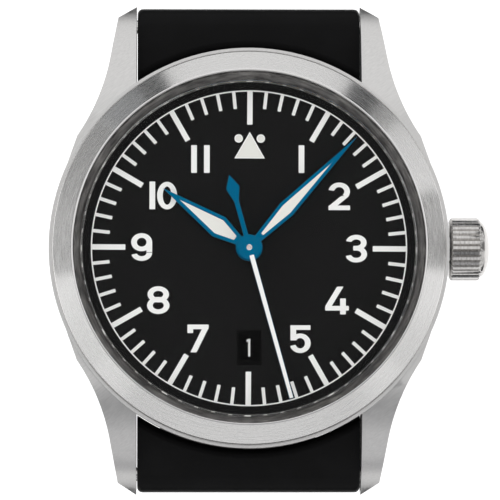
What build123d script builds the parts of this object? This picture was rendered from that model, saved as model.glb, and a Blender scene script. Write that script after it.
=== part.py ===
from build123d import *
import os
from math import cos, sin, radians, degrees, pi, atan2, hypot

os.makedirs("parts", exist_ok=True)

# A 39 mm pilot watch with a screwed steel back, a self-winding movement and a two-piece strap.
# Millimetres. The origin is the centre of the back's outer face, +Z is out of the dial,
# +Y is towards 12 and +X towards the crown.

# Clearances shared by all pieces
overrun = 1.0
press_gap = 0.01
slip_gap = 0.05
arbor_gap = 0.03

# Case middle
case_radius = 19.5
case_bottom = 1.2
case_top = 7.4
case_wall = 2.35
dial_seat_depth = 0.8

# Lugs
lug_gap = 22.0
lug_reach = 4.55
lug_drop = 4.1
lug_head = 0.4
lug_tip_height = 2.7
lug_heel = 0.7
lug_root_share = 0.20
# How far out of the gap and how far along the lug's span each corner of its outer side lies
lug_side_shares = [(0.212, 0.950), (0.306, 0.765), (0.441, 0.607), (0.676, 0.455), (0.921, 0.210)]
# Along the span and down the drop: the bend of the lug's back, then along the span for its belly
lug_back_shares = [(0.50, 0.0), (0.80, 0.29)]
lug_belly_shares = [(0.970, 0.0), (0.80, 0.30), (0.60, 1.0)]
lug_belly_rise = 1.4

# Spring bars
bar_inset = 2.05
bar_height = 2.5
bar_radius = 0.70
bar_seat = 0.9
bar_hole_depth = 1.2

# Bezel
bezel_foot_inset = 0.2
bezel_height = 2.3
bezel_wall_height = 0.6

# Crystal
crystal_thickness = 1.6
crystal_proud = 0.2
crystal_seat_gap = 0.05

# Flange ring round the dial
flange_top_width = 0.65
flange_foot_width = 0.95
flange_wall_height = 1.0

# Dial and date ring
dial_edge_gap = 0.15
dial_thickness = 0.4
dial_hole_radius = 0.95
date_window_width = 1.95
date_window_height = 2.95
date_window_reach = 9.7
date_ring_width = 2.75
date_ring_thickness = 0.22

# Hands, each pointing to 12 before it is turned to its place
hand_thickness = 0.15
hand_step = 0.45
hour_hand_lift = 0.45
hour_reach_share = 0.63
hour_width = 2.25
hour_widest_at = 3.58
hour_neck = 1.0
hour_hub_radius = 1.30
hour_frame = 0.37
hour_lume_start = 1.65
hour_lume_share = 0.803
hour_angle = 304.6
minute_reach_share = 0.932
minute_width = 1.68
minute_widest_at = 5.2
minute_neck = 0.75
minute_hub_radius = 1.05
minute_frame = 0.33
minute_lume_start = 1.8
minute_lume_share = 0.755
minute_angle = 44.2
second_reach_share = 0.938
second_root_width = 0.52
second_tip_width = 0.42
second_hub_radius = 1.20
second_tail_width = 0.45
second_kite_start = 4.6
second_kite_widest_at = 6.0
second_kite_width = 1.34
second_kite_end = 7.3
second_angle = 164.4

# Crown, its tube and the stem
crown_radius = 3.07
crown_length = 3.0
crown_case_gap = 0.1
crown_flutes = 36
crown_flute_depth = 0.22
crown_ridge_share = 0.55
crown_dome_height = 1.0
# Across the radius and up the height: the turned steps of the domed end
crown_dome_shares = [(0.90, 0.0), (0.80, 0.55), (0.42, 1.0)]
crown_recess_depth = 1.9
crown_stem_seat = 1.0
tube_radius = 1.5
tube_bore = 0.62
tube_inside = 2.2
tube_outside = 1.1
crown_recess_gap = 0.08
stem_radius = 0.38
stem_inner_end = 8.6
stem_height = 4.3

# Case back
back_inset = 1.2
back_flange = 1.2
back_spigot_height = 0.4
back_key_count = 6
back_key_width = 2.4
back_key_depth = 0.55

# Movement plates
movement_radius = 12.8
plate_low = 5.1
plate_thickness = 0.65
bridge_low = 2.75
bridge_thickness = 0.6
bridge_inset = 0.3
bridge_split = 1.6
bridge_split_angle = 60.0
bridge_split_gap = 0.3
foot_side = 1.2
foot_inset = 1.3
barrel_feet_angles = (12.0, 25.0, 96.0, 128.0)
train_feet_angles = (165.0, 200.0, 232.0, 320.0)

# Going train: tooth counts, the arbors' places and the heights of the wheels
centre_teeth = 48
third_leaves = 6
third_teeth = 45
fourth_leaves = 6
fourth_teeth = 60
escape_leaves = 6
barrel_teeth = 60
centre_leaves = 8
third_reach = 4.2
third_bearing = 190.0
escape_reach = 4.3
escape_bearing = -35.0
barrel_reach = 6.5
wheel_thickness = 0.14
tooth_height_share = 0.72
arbor_radius = 0.20
centre_arbor_radius = 0.40
fourth_wheel_low = 3.42
third_wheel_low = 3.62
centre_wheel_low = 3.90
barrel_low = 4.15
barrel_thickness = 0.9

# Escapement
escape_count = 15
escape_radius = 2.0
escape_root = 1.45
escape_wheel_low = 4.42
fork_reach = 2.65
fork_width = 0.42
fork_arm = 1.55
fork_thickness = 0.2
fork_tail = 2.45
balance_bearing = -81.8
balance_reach = 8.4
balance_radius = 3.8
balance_rim = 0.42
balance_thickness = 0.35
balance_low = 3.45
balance_arm_width = 0.5
balance_arm_angle = 30.0
spring_inner_radius = 0.75
spring_turns = 4
spring_links = 14
spring_pitch = 0.42
spring_strip = 0.08
spring_height = 0.18
spring_low = 3.12
cock_thickness = 0.3
cock_end_radius = 1.1
cock_bearing = 252.0

# Motion work under the dial
cannon_leaves = 10
minute_wheel_teeth = 30
minute_wheel_leaves = 8
hour_teeth = 32
hour_wall = 0.20
motion_reach = 2.6
motion_bearing = 30.0
motion_gap = 0.03
motion_thickness = 0.12

# Rotor
rotor_edge_gap = 0.5
rotor_low = 1.7
rotor_plate = 0.28
rotor_rim_width = 1.5
rotor_rim_height = 0.8
rotor_bearing_radius = 1.55
rotor_hub_radius = 2.7
rotor_angle = 165.0

# Strap: both halves hang unbuckled and curl in under the head
strap_side_gap = 0.1
strap_taper = 3.8
strap_thick = 3.6
strap_thin = 2.4
strap_hole_gap = 0.09
strap_case_gap = 0.3
strap_nose_rise = 1.1
strap_nose_drop = 1.2
short_drop = 24.0
short_bend_angle = 45.0
short_run = 18.0
short_end_clear = 19.556
long_bend_rise = 6.0
long_bend_radius = 28.0
long_bend_angle = 90.0
long_run = 13.0
taper_depth = 50.0
strap_tip_radius = 7.0
strap_hole_radius = 0.95
strap_hole_sides = 14
fold_bore_sides = 18
strap_hole_count = 5
strap_hole_pitch = 6.5
strap_hole_start = 21.0

# Pin buckle and keepers
buckle_side = 1.9
buckle_clearance = 0.25
buckle_reach = 11.3
buckle_heel = 1.5
buckle_front = 2.3
buckle_thickness = 2.2
buckle_corner = 2.6
buckle_bar_radius = 0.55
buckle_bar_seat = 1.0
tang_width = 2.0
tang_eye = 1.25
tang_thickness = 0.9
tang_slot_gap = 0.3
tang_slot_depth = 3.2
tang_rest = 0.05
tang_notch_depth = 0.35
keeper_length = 4.8
keeper_wall = 1.1
keeper_inner_gap = 0.1
keeper_room = 2.7
fixed_keeper_from_bar = 3.6
free_keeper_from_bend = 0.5
keeper_corner = 1.2

# Heights and places that follow
case_bore_radius = case_radius - case_wall
bezel_foot_radius = case_radius - bezel_foot_inset
back_radius = case_radius - back_inset
dial_radius = case_bore_radius - dial_edge_gap
flange_top_inner = case_bore_radius - flange_top_width
flange_foot_inner = case_bore_radius - flange_foot_width
hour_length = flange_foot_inner * hour_reach_share
minute_length = flange_foot_inner * minute_reach_share
hour_lume_end = hour_length * hour_lume_share
minute_lume_end = minute_length * minute_lume_share
second_length = flange_foot_inner * second_reach_share
rotor_radius = movement_radius - rotor_edge_gap
dial_top = case_top - dial_seat_depth
dial_low = dial_top - dial_thickness
bezel_top = case_top + bezel_height
crystal_top = bezel_top + crystal_proud
crystal_low = crystal_top - crystal_thickness
crystal_radius = case_bore_radius - crystal_seat_gap
plate_top = plate_low + plate_thickness
bridge_top = bridge_low + bridge_thickness
lug_span = case_radius + lug_reach
bar_span = lug_span - bar_inset
strap_width = lug_gap - 2 * strap_side_gap
strap_end_width = strap_width - strap_taper
crown_start = case_radius + crown_case_gap
hour_hand_low = dial_top + hour_hand_lift
minute_hand_low = hour_hand_low + hand_step
second_hand_low = minute_hand_low + hand_step


def place(reach, bearing):
    """A point in the movement, from its distance to the centre and its bearing from +X."""
    return reach * cos(radians(bearing)), reach * sin(radians(bearing))


def turned(*outline):
    """A body of revolution about Z from an outline of (radius, height) corners."""
    return revolve(Plane.XZ * make_face(Polyline(*outline, close=True)), Axis.Z)


def ring(outer, inner, low, high):
    """A plain ring about Z between two heights."""
    return Pos(0, 0, low) * extrude(Circle(outer) - Circle(inner), high - low)


def disc(radius, low, high):
    """A plain disc about Z between two heights."""
    return Pos(0, 0, low) * extrude(Circle(radius), high - low)


def rod_x(radius, start, end, y, z):
    """A round bar along X."""
    plane = Plane(origin=(start, y, z), x_dir=(0, 1, 0), z_dir=(1, 0, 0))
    return extrude(plane * Circle(radius), end - start)


def toothed(teeth, pitch_radius, phase):
    """The face of a fine gear, with the bearing of one tooth's tip in degrees."""
    half_tooth = pi * pitch_radius / teeth * tooth_height_share
    corners = []
    for i in range(teeth):
        tip = radians(phase) + 2 * pi * i / teeth
        gap = tip + pi / teeth
        corners.append(((pitch_radius + half_tooth) * cos(tip), (pitch_radius + half_tooth) * sin(tip)))
        corners.append(((pitch_radius - half_tooth) * cos(gap), (pitch_radius - half_tooth) * sin(gap)))
    return make_face(Polyline(*corners, close=True))


def pitch_radii(reach, teeth, mate_teeth):
    """The pitch radii of two gears that mesh over a centre distance."""
    return reach * teeth / (teeth + mate_teeth), reach * mate_teeth / (teeth + mate_teeth)


def mesh_phase(teeth, phase, bearing, mate_teeth):
    """The phase of a mate that lies at the given bearing, so that its gap faces this gear's tooth."""
    share = (bearing - phase) * teeth / 360
    return bearing + 180 - (0.5 - share) * 360 / mate_teeth


def gear(teeth, pitch_radius, phase, low, thickness):
    """A toothed disc about Z."""
    return Pos(0, 0, low) * extrude(toothed(teeth, pitch_radius, phase), thickness)


barrel_place = place(barrel_reach, bridge_split_angle)
third_place = place(third_reach, third_bearing)
escape_place = place(escape_reach, escape_bearing)
balance_place = place(balance_reach, balance_bearing)
fork_bearing = degrees(atan2(balance_place[1] - escape_place[1], balance_place[0] - escape_place[0]))
fork_place = (
    escape_place[0] + place(fork_reach, fork_bearing)[0],
    escape_place[1] + place(fork_reach, fork_bearing)[1],
)
cock_foot = place(movement_radius - foot_inset, cock_bearing)


def lug():
    """One lug, at the crown side of 12: its plan outline crossed with its side outline."""
    width = case_radius - lug_gap / 2
    side = [(lug_gap / 2 + width * out, lug_span * along) for out, along in lug_side_shares]
    root = (lug_gap / 2, lug_span * lug_root_share)
    plan = make_face(
        Line(root, (lug_gap / 2, lug_span))
        + Line((lug_gap / 2, lug_span), side[0])
        + Line(side[0], side[1])
        + ThreePointArc(side[1], side[2], side[3])
        + Line(side[3], side[4])
        + Line(side[4], root)
    )
    top = case_top - lug_head
    back = [(lug_span * along, top - lug_drop * down) for along, down in lug_back_shares]
    tip_top = (lug_span, top - lug_drop)
    tip_low = (lug_span, top - lug_drop - lug_tip_height + lug_heel)
    heel = top - lug_drop - lug_tip_height
    belly = [(lug_span * along, heel + lug_belly_rise * up) for along, up in lug_belly_shares]
    root_along = lug_span * lug_root_share
    profile = make_face(
        Line((root_along, top), back[0])
        + ThreePointArc(back[0], back[1], tip_top)
        + Line(tip_top, tip_low)
        + Line(tip_low, belly[0])
        + Line(belly[0], belly[1])
        + Line(belly[1], belly[2])
        + Line(belly[2], (root_along, belly[2][1]))
        + Line((root_along, belly[2][1]), (root_along, top))
    )
    return extrude(plan, case_top) & extrude(Plane.YZ * profile, case_radius)


def mid_case():
    """The case middle with its four lugs, bored through for the movement, the dial and the flange ring."""
    body = disc(case_radius, case_bottom, case_top)
    right = lug()
    pair = right + mirror(right, Plane.YZ)
    body = body + pair + mirror(pair, Plane.XZ)
    body = body - disc(case_bore_radius, 0, case_top + overrun)
    inside = case_bore_radius - overrun
    body = body - rod_x(tube_radius + press_gap, inside, case_radius + overrun, 0, stem_height)
    reach = lug_gap / 2 + bar_hole_depth
    for side in (1, -1):
        body = body - rod_x(bar_radius + slip_gap, -reach, reach, side * bar_span, bar_height)
    return body


def bezel():
    """The bezel on the case top: a low upright wall and one steep slope up to the crystal."""
    return turned(
        (case_bore_radius, case_top),
        (bezel_foot_radius, case_top),
        (bezel_foot_radius, case_top + bezel_wall_height),
        (case_bore_radius, bezel_top),
    )


def crystal():
    """The flat sapphire crystal."""
    return disc(crystal_radius, crystal_low, crystal_top)


def flange_ring():
    """The ring between dial and crystal: a near-upright polished wall below a sloped, brushed face."""
    outer = case_bore_radius - slip_gap
    return turned(
        (flange_foot_inner, dial_top),
        (outer, dial_top),
        (outer, crystal_low),
        (flange_top_inner, dial_top + flange_wall_height),
    )


def dial():
    """The dial disc with its centre hole and the date window at 6."""
    window = Pos(0, -date_window_reach) * Rectangle(date_window_width, date_window_height)
    face = Circle(dial_radius) - Circle(dial_hole_radius) - window
    return Pos(0, 0, dial_low) * extrude(face, dial_thickness)


def date_ring():
    """The ring that carries the dates under the dial, centred under the window."""
    low = (plate_top + dial_low - date_ring_thickness) / 2
    half = date_ring_width / 2
    return ring(date_window_reach + half, date_window_reach - half, low, low + date_ring_thickness)


def at_clock(shape, angle):
    """Turns a hand from 12 to its place, clockwise seen from the dial."""
    return Rot(0, 0, -angle) * shape


def hand_blank(length, width, widest_at, neck, hub, bore, low):
    """A lance hand: a hub, a neck, a swell and a long straight taper to the tip."""
    outline = Polyline(
        (-neck / 2, 0),
        (-neck / 2, hub),
        (-width / 2, widest_at),
        (0, length),
        (width / 2, widest_at),
        (neck / 2, hub),
        (neck / 2, 0),
        close=True,
    )
    face = make_face(outline) + Circle(hub)
    return Pos(0, 0, low) * extrude(face - Circle(bore), hand_thickness)


def hand_window(start, end, width, widest_at, neck, hub, frame):
    """The opening of a hand that its luminous filling closes."""
    start_half = neck / 2 + (width - neck) / 2 * (start - hub) / (widest_at - hub) - frame
    return make_face(
        Polyline(
            (-start_half, start),
            (-width / 2 + frame, widest_at),
            (0, end),
            (width / 2 - frame, widest_at),
            (start_half, start),
            close=True,
        )
    )


def hour_hand_and_lume():
    """The hour hand, and the filling of its window as a solid of its own."""
    bore = centre_arbor_radius + arbor_gap + hour_wall + press_gap
    blank = hand_blank(
        hour_length, hour_width, hour_widest_at, hour_neck, hour_hub_radius, bore, hour_hand_low
    )
    face = hand_window(
        hour_lume_start, hour_lume_end, hour_width, hour_widest_at, hour_neck, hour_hub_radius, hour_frame
    )
    lume = Pos(0, 0, hour_hand_low) * extrude(face, hand_thickness)
    return at_clock(blank - lume, hour_angle), at_clock(lume, hour_angle)


def minute_hand_and_lume():
    """The minute hand, and the filling of its window as a solid of its own."""
    bore = centre_arbor_radius + press_gap
    blank = hand_blank(
        minute_length, minute_width, minute_widest_at, minute_neck, minute_hub_radius, bore, minute_hand_low
    )
    face = hand_window(
        minute_lume_start,
        minute_lume_end,
        minute_width,
        minute_widest_at,
        minute_neck,
        minute_hub_radius,
        minute_frame,
    )
    lume = Pos(0, 0, minute_hand_low) * extrude(face, hand_thickness)
    return at_clock(blank - lume, minute_angle), at_clock(lume, minute_angle)


def second_hand():
    """The seconds hand: a slim needle, a hub and a tail that ends in a kite."""
    needle = Polyline(
        (-second_root_width / 2, 0),
        (-second_tip_width / 2, second_length),
        (second_tip_width / 2, second_length),
        (second_root_width / 2, 0),
        close=True,
    )
    kite = Polyline(
        (0, -second_kite_start),
        (second_kite_width / 2, -second_kite_widest_at),
        (0, -second_kite_end),
        (-second_kite_width / 2, -second_kite_widest_at),
        close=True,
    )
    stem = Pos(0, -second_kite_widest_at / 2) * Rectangle(second_tail_width, second_kite_widest_at)
    face = make_face(needle) + stem + make_face(kite) + Circle(second_hub_radius)
    face = face - Circle(arbor_radius + press_gap)
    return at_clock(Pos(0, 0, second_hand_low) * extrude(face, hand_thickness), second_angle)


def crown():
    """The fluted crown with its domed end and the recess that slides over the tube."""
    corners = []
    for i in range(crown_flutes):
        middle = 360 / crown_flutes * i
        half = 180 / crown_flutes
        ridge = half * crown_ridge_share
        corners.append(place(crown_radius, middle - ridge))
        corners.append(place(crown_radius, middle + ridge))
        corners.append(place(crown_radius - crown_flute_depth, middle + half))
    section = make_face(Polyline(*corners, close=True))
    axis = Plane(origin=(crown_start, 0, stem_height), x_dir=(0, 1, 0), z_dir=(1, 0, 0))
    fluted = extrude(axis * section, crown_length)
    steps = [(crown_radius * across, crown_dome_height * up) for across, up in crown_dome_shares]
    dome = turned((0, 0), *steps, (0, crown_dome_height))
    dome = Pos(crown_start + crown_length, 0, stem_height) * Rot(0, 90, 0) * dome
    recess = tube_radius + crown_recess_gap
    body = fluted + dome
    body = body - rod_x(recess, crown_start - overrun, crown_start + crown_recess_depth, 0, stem_height)
    stem_seat = crown_start + crown_recess_depth + crown_stem_seat
    return body - rod_x(stem_radius + press_gap, crown_start, stem_seat, 0, stem_height)


def crown_tube():
    """The tube pressed into the case wall that the crown slides on."""
    start = case_radius - tube_inside
    end = case_radius + tube_outside
    return rod_x(tube_radius, start, end, 0, stem_height) - rod_x(tube_bore, 0, end + overrun, 0, stem_height)


def stem():
    """The winding stem from the movement to its seat in the crown."""
    end = crown_start + crown_recess_depth + crown_stem_seat
    return rod_x(stem_radius, stem_inner_end, end, 0, stem_height)


def case_back():
    """The screwed steel back: a flange with key slots and a spigot in the case bore."""
    spigot = case_bore_radius - slip_gap
    body = disc(back_radius, 0, back_flange) + disc(spigot, back_flange, back_flange + back_spigot_height)
    slot = Pos(back_radius, 0, back_flange / 2) * Box(2 * back_key_depth, back_key_width, 2 * back_flange)
    for i in range(back_key_count):
        body = body - Rot(0, 0, (i + 0.5) * 360 / back_key_count) * slot
    return body


def movement_ring():
    """The holder that centres the movement in the case and carries the dial."""
    low = back_flange + back_spigot_height
    body = ring(case_bore_radius - slip_gap, movement_radius + slip_gap, low, dial_low)
    slot_top = stem_height + tube_bore
    slot = Box(2 * (case_bore_radius - movement_radius), 2 * tube_bore, slot_top)
    return body - Pos((case_bore_radius + movement_radius) / 2, 0, slot_top / 2) * slot


def main_plate():
    """The main plate, with the hole for the centre arbor."""
    return disc(movement_radius, plate_low, plate_top) - disc(centre_arbor_radius + arbor_gap, 0, case_top)


def foot(bearing):
    """A square pillar that carries a bridge on the main plate."""
    height = plate_low - bridge_top
    pillar = Pos(movement_radius - foot_inset, 0, bridge_top + height / 2) * Box(foot_side, foot_side, height)
    return Rot(0, 0, bearing) * pillar


def bridge_face(outer_side):
    """One side of the round bridge outline, split by a straight gap."""
    round_face = Circle(movement_radius - bridge_inset)
    half = 2 * movement_radius
    shift = bridge_split + outer_side * (bridge_split_gap / 2 + half / 2)
    band = Rot(0, 0, bridge_split_angle) * (Pos(shift, 0) * Rectangle(half, 2 * half))
    return round_face & band


def barrel_bridge():
    """The bridge over the barrel, on its pillars."""
    body = Pos(0, 0, bridge_low) * extrude(bridge_face(1), bridge_thickness)
    for bearing in barrel_feet_angles:
        body = body + foot(bearing)
    return body


def cock_face(margin):
    """The plan of the balance cock, from its foot at the edge to the balance's pivot."""
    across = hypot(balance_place[0] - cock_foot[0], balance_place[1] - cock_foot[1])
    bearing = degrees(atan2(balance_place[1] - cock_foot[1], balance_place[0] - cock_foot[0]))
    arm = Pos(across / 2, 0) * Rectangle(across, 2 * (cock_end_radius + margin))
    arm = arm + Circle(cock_end_radius + margin) + Pos(across, 0) * Circle(cock_end_radius + margin)
    return Pos(*cock_foot) * Rot(0, 0, bearing) * arm


def train_bridge():
    """The bridge over the train, cut away round the balance and its cock."""
    clear = balance_radius + bridge_split_gap
    rim = place(movement_radius, balance_bearing)
    open_side = Pos(*rim) * Rot(0, 0, balance_bearing) * Rectangle(2 * clear, 2 * (cock_end_radius + clear))
    face = bridge_face(-1) - Pos(*balance_place) * Circle(clear) - cock_face(bridge_split_gap) - open_side
    body = Pos(0, 0, bridge_low) * extrude(face, bridge_thickness)
    for bearing in train_feet_angles:
        body = body + foot(bearing)
    return body


def balance_cock():
    """The arm that carries the balance's outer pivot, on one foot at the movement's edge."""
    body = Pos(0, 0, bridge_low) * extrude(cock_face(0), cock_thickness)
    height = plate_low - bridge_low - cock_thickness
    pillar = Rot(0, 0, cock_bearing) * Box(foot_side, foot_side, height)
    return body + Pos(*cock_foot, plate_low - height / 2) * pillar


def arbor(low):
    """A steel arbor from a height up to the main plate."""
    return disc(arbor_radius, low, plate_low - arbor_gap)


def third_wheel():
    """The third wheel and the pinion that the centre wheel drives."""
    wheel_radius = pitch_radii(third_reach, third_teeth, fourth_leaves)[0]
    pinion_radius = pitch_radii(third_reach, third_leaves, centre_teeth)[0]
    body = gear(third_teeth, wheel_radius, third_phase, third_wheel_low, wheel_thickness)
    pinion_low = third_wheel_low + wheel_thickness
    body = body + gear(third_leaves, pinion_radius, third_pinion_phase, pinion_low, 3 * wheel_thickness)
    return Pos(*third_place) * (body + arbor(pinion_low + 3 * wheel_thickness))


def centre_wheel():
    """The centre wheel with the pinion that the barrel drives, on a hollow arbor."""
    wheel_radius = pitch_radii(third_reach, centre_teeth, third_leaves)[0]
    pinion_radius = pitch_radii(barrel_reach, centre_leaves, barrel_teeth)[0]
    body = gear(centre_teeth, wheel_radius, 0, centre_wheel_low, wheel_thickness)
    pinion_low = centre_wheel_low + wheel_thickness
    body = body + gear(centre_leaves, pinion_radius, 0, pinion_low, 3 * wheel_thickness)
    body = body + disc(centre_arbor_radius, pinion_low, plate_top + motion_gap)
    return body - disc(arbor_radius + arbor_gap, 0, crystal_top)


def cannon_pinion():
    """The cannon pinion on the centre arbor, which carries the minute hand."""
    pinion_radius = pitch_radii(motion_reach, cannon_leaves, minute_wheel_teeth)[0]
    low = plate_top + motion_gap
    body = gear(cannon_leaves, pinion_radius, 0, low, motion_thickness)
    body = body + disc(centre_arbor_radius, low, minute_hand_low + hand_thickness)
    return body - disc(arbor_radius + arbor_gap, 0, crystal_top)


def minute_wheel():
    """The minute wheel of the motion work, with its pinion."""
    wheel_radius = pitch_radii(motion_reach, minute_wheel_teeth, cannon_leaves)[0]
    pinion_radius = pitch_radii(motion_reach, minute_wheel_leaves, hour_teeth)[0]
    low = plate_top + motion_gap
    phase = mesh_phase(cannon_leaves, 0, motion_bearing, minute_wheel_teeth)
    body = gear(minute_wheel_teeth, wheel_radius, phase, low, motion_thickness)
    body = body + gear(minute_wheel_leaves, pinion_radius, 0, low + motion_thickness, 2 * motion_thickness)
    return Pos(*place(motion_reach, motion_bearing)) * body


def hour_wheel():
    """The hour wheel, on a tube that turns on the cannon pinion and carries the hour hand."""
    pitch_radius = pitch_radii(motion_reach, hour_teeth, minute_wheel_leaves)[0]
    inner = centre_arbor_radius + arbor_gap
    low = plate_top + 2 * motion_gap + motion_thickness
    phase = mesh_phase(minute_wheel_leaves, 0, motion_bearing + 180, hour_teeth)
    body = gear(hour_teeth, pitch_radius, phase, low, motion_thickness)
    body = body + disc(inner + hour_wall, low, hour_hand_low + hand_thickness)
    return body - disc(inner, 0, crystal_top)


def fourth_wheel():
    """The fourth wheel and its pinion, on the long arbor that carries the seconds hand."""
    wheel_radius = pitch_radii(escape_reach, fourth_teeth, escape_leaves)[0]
    pinion_radius = pitch_radii(third_reach, fourth_leaves, third_teeth)[0]
    body = gear(fourth_teeth, wheel_radius, 0, fourth_wheel_low, wheel_thickness)
    pinion_low = fourth_wheel_low + wheel_thickness
    body = body + gear(fourth_leaves, pinion_radius, fourth_pinion_phase, pinion_low, 2 * wheel_thickness)
    return body + disc(arbor_radius, bridge_top + arbor_gap, second_hand_low + hand_thickness)


def barrel():
    """The mainspring barrel with its toothed rim, on its arbor."""
    pitch_radius = pitch_radii(barrel_reach, barrel_teeth, centre_leaves)[0]
    phase = mesh_phase(centre_leaves, 0, bridge_split_angle, barrel_teeth)
    body = gear(barrel_teeth, pitch_radius, phase, barrel_low, barrel_thickness)
    return Pos(*barrel_place) * (body + disc(2 * arbor_radius, bridge_top + arbor_gap, barrel_low))


def escape_wheel():
    """The escape wheel with its hooked teeth, and its pinion."""
    corners = []
    for i in range(escape_count):
        start = 360 / escape_count * i
        corners.append(place(escape_radius, start))
        corners.append(place(escape_root, start + 180 / escape_count))
        corners.append(place(escape_root, start + 330 / escape_count))
    body = Pos(0, 0, escape_wheel_low) * extrude(make_face(Polyline(*corners, close=True)), wheel_thickness)
    pinion_radius = pitch_radii(escape_reach, escape_leaves, fourth_teeth)[0]
    phase = mesh_phase(fourth_teeth, 0, escape_bearing, escape_leaves)
    low = bridge_top + arbor_gap
    body = body + gear(escape_leaves, pinion_radius, phase, low, 2 * wheel_thickness)
    return Pos(*escape_place) * (body + arbor(low + 2 * wheel_thickness))


def pallet_fork():
    """The lever: two pallet arms towards the escape wheel and a forked tail towards the balance."""
    reach = fork_reach - escape_radius
    face = Rectangle(fork_width, 2 * fork_arm)
    for side in (1, -1):
        face = face + Pos(-reach / 2, side * (fork_arm - fork_width / 2)) * Rectangle(reach, fork_width)
    face = face + Pos(fork_tail / 2, 0) * Rectangle(fork_tail, fork_width)
    face = face + Pos(fork_tail, 0) * Rectangle(fork_width, 2 * fork_width)
    for side in (1, -1):
        prong = Rectangle(fork_width, fork_width / 2)
        face = face + Pos(fork_tail + fork_width, side * fork_width * 0.75) * prong
    body = Pos(0, 0, escape_wheel_low) * extrude(face, fork_thickness)
    body = body + arbor(balance_low + balance_thickness + slip_gap)
    return Pos(*fork_place) * Rot(0, 0, fork_bearing) * body


def balance_wheel():
    """The balance: a three-armed rim on its staff."""
    arm_reach = balance_radius - balance_rim / 2
    face = Circle(balance_radius) - Circle(balance_radius - balance_rim)
    for i in range(3):
        arm = Pos(arm_reach / 2, 0) * Rectangle(arm_reach, balance_arm_width)
        face = face + Rot(0, 0, 120 * i + balance_arm_angle) * arm
    body = Pos(0, 0, balance_low) * extrude(face, balance_thickness)
    staff = arbor(bridge_low + cock_thickness + arbor_gap)
    return Pos(*balance_place) * (body + staff)


def hairspring():
    """The flat spiral spring over the balance, drawn as short straight links of one strip."""
    outer = []
    inner = []
    for i in range(spring_turns * spring_links + 1):
        radius = spring_inner_radius + spring_pitch * i / spring_links
        bearing = 360 * i / spring_links
        outer.append(place(radius + spring_strip / 2, bearing))
        inner.append(place(radius - spring_strip / 2, bearing))
    strip = extrude(make_face(Polyline(*outer, *reversed(inner), close=True)), spring_height)
    return Pos(*balance_place, spring_low) * strip


def half_disc(radius):
    """A half disc on the side of +X."""
    return Circle(radius) & Pos(radius, 0) * Rectangle(2 * radius, 2 * radius)


def rotor():
    """The winding rotor: a half disc with a heavy rim, on a hub."""
    body = extrude(half_disc(rotor_radius) + Circle(rotor_hub_radius), rotor_plate)
    rim = half_disc(rotor_radius) - Circle(rotor_radius - rotor_rim_width)
    body = body + extrude(rim, rotor_rim_height)
    body = body - disc(rotor_bearing_radius + arbor_gap, -overrun, overrun)
    return Pos(0, 0, rotor_low) * Rot(0, 0, rotor_angle) * body


def rotor_bearing():
    """The bearing core that is screwed to the bridge and carries the rotor."""
    return disc(rotor_bearing_radius, rotor_low, bridge_low)


third_pinion_phase = mesh_phase(centre_teeth, 0, third_bearing, third_leaves)
third_phase = 0
fourth_pinion_phase = mesh_phase(third_teeth, third_phase, third_bearing + 180, fourth_leaves)


def spring_bar(side):
    """The bar between a pair of lugs, seated in a hole of each."""
    half = lug_gap / 2 + bar_seat
    return rod_x(bar_radius, -half, half, side * bar_span, bar_height)


def outer_point(points, k, offset):
    """A point of the strap's line moved out from its middle."""
    point, normal = points[k]
    return point[0] + normal[0] * offset, point[1] + normal[1] * offset


def strap_line(side, drop, radius, bend, run):
    """The middle line of one strap half in the YZ plane: each place with the direction out of the loop."""
    top = (side * bar_span, bar_height)
    knee = (top[0], top[1] - drop)
    centre = (knee[0] - side * radius, knee[1])
    line = [(top, (side, 0)), (knee, (side, 0))]
    for half_share in (0.5, 1.0):
        angle = radians(bend * half_share)
        normal = (side * cos(angle), -sin(angle))
        line.append(((centre[0] + radius * normal[0], centre[1] + radius * normal[1]), normal))
    normal = line[-1][1]
    forward = (side * normal[1], -side * normal[0])
    end = (line[-1][0][0] + forward[0] * run, line[-1][0][1] + forward[1] * run)
    line.append((end, normal))
    return line


def strap_side_face(line):
    """The side outline of a strap half, thick at the lugs and thin from the first bend on."""
    inner = [outer_point(line, k, -(strap_thin if k else strap_thick) / 2) for k in range(5)]
    outer = [outer_point(line, k, (strap_thin if k else strap_thick) / 2) for k in range(5)]
    return make_face(
        Line(inner[0], inner[1])
        + ThreePointArc(inner[1], inner[2], inner[3])
        + Line(inner[3], inner[4])
        + Line(inner[4], outer[4])
        + Line(outer[4], outer[3])
        + ThreePointArc(outer[3], outer[2], outer[1])
        + Line(outer[1], outer[0])
        + Line(outer[0], inner[0])
    )


def strap_front_face(depth):
    """The front outline of a strap half, which narrows from the lugs to the buckle's width."""
    top = bar_height + strap_thick
    half = strap_width / 2
    end = strap_end_width / 2
    return make_face(
        Polyline(
            (-half, top),
            (half, top),
            (half, bar_height),
            (end, bar_height - taper_depth),
            (end, -depth),
            (-end, -depth),
            (-end, bar_height - taper_depth),
            (-half, bar_height),
            close=True,
        )
    )


def fold_bore(radius, plane):
    """The space that a bar takes in a fold of leather, wide enough all round for the radius."""
    corner_radius = radius / cos(pi / fold_bore_sides)
    return extrude(plane * RegularPolygon(corner_radius, fold_bore_sides), 2 * lug_gap)


def strap_nose(side):
    """The fitted end of a strap half, which fills the gap between the lugs up to the case."""
    low = bar_height - strap_nose_drop
    face = Pos(0, side * bar_span / 2) * Rectangle(strap_width, bar_span)
    face = face - Circle(case_radius + strap_case_gap)
    return Pos(0, 0, low) * extrude(face, strap_nose_rise + strap_nose_drop)


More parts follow.
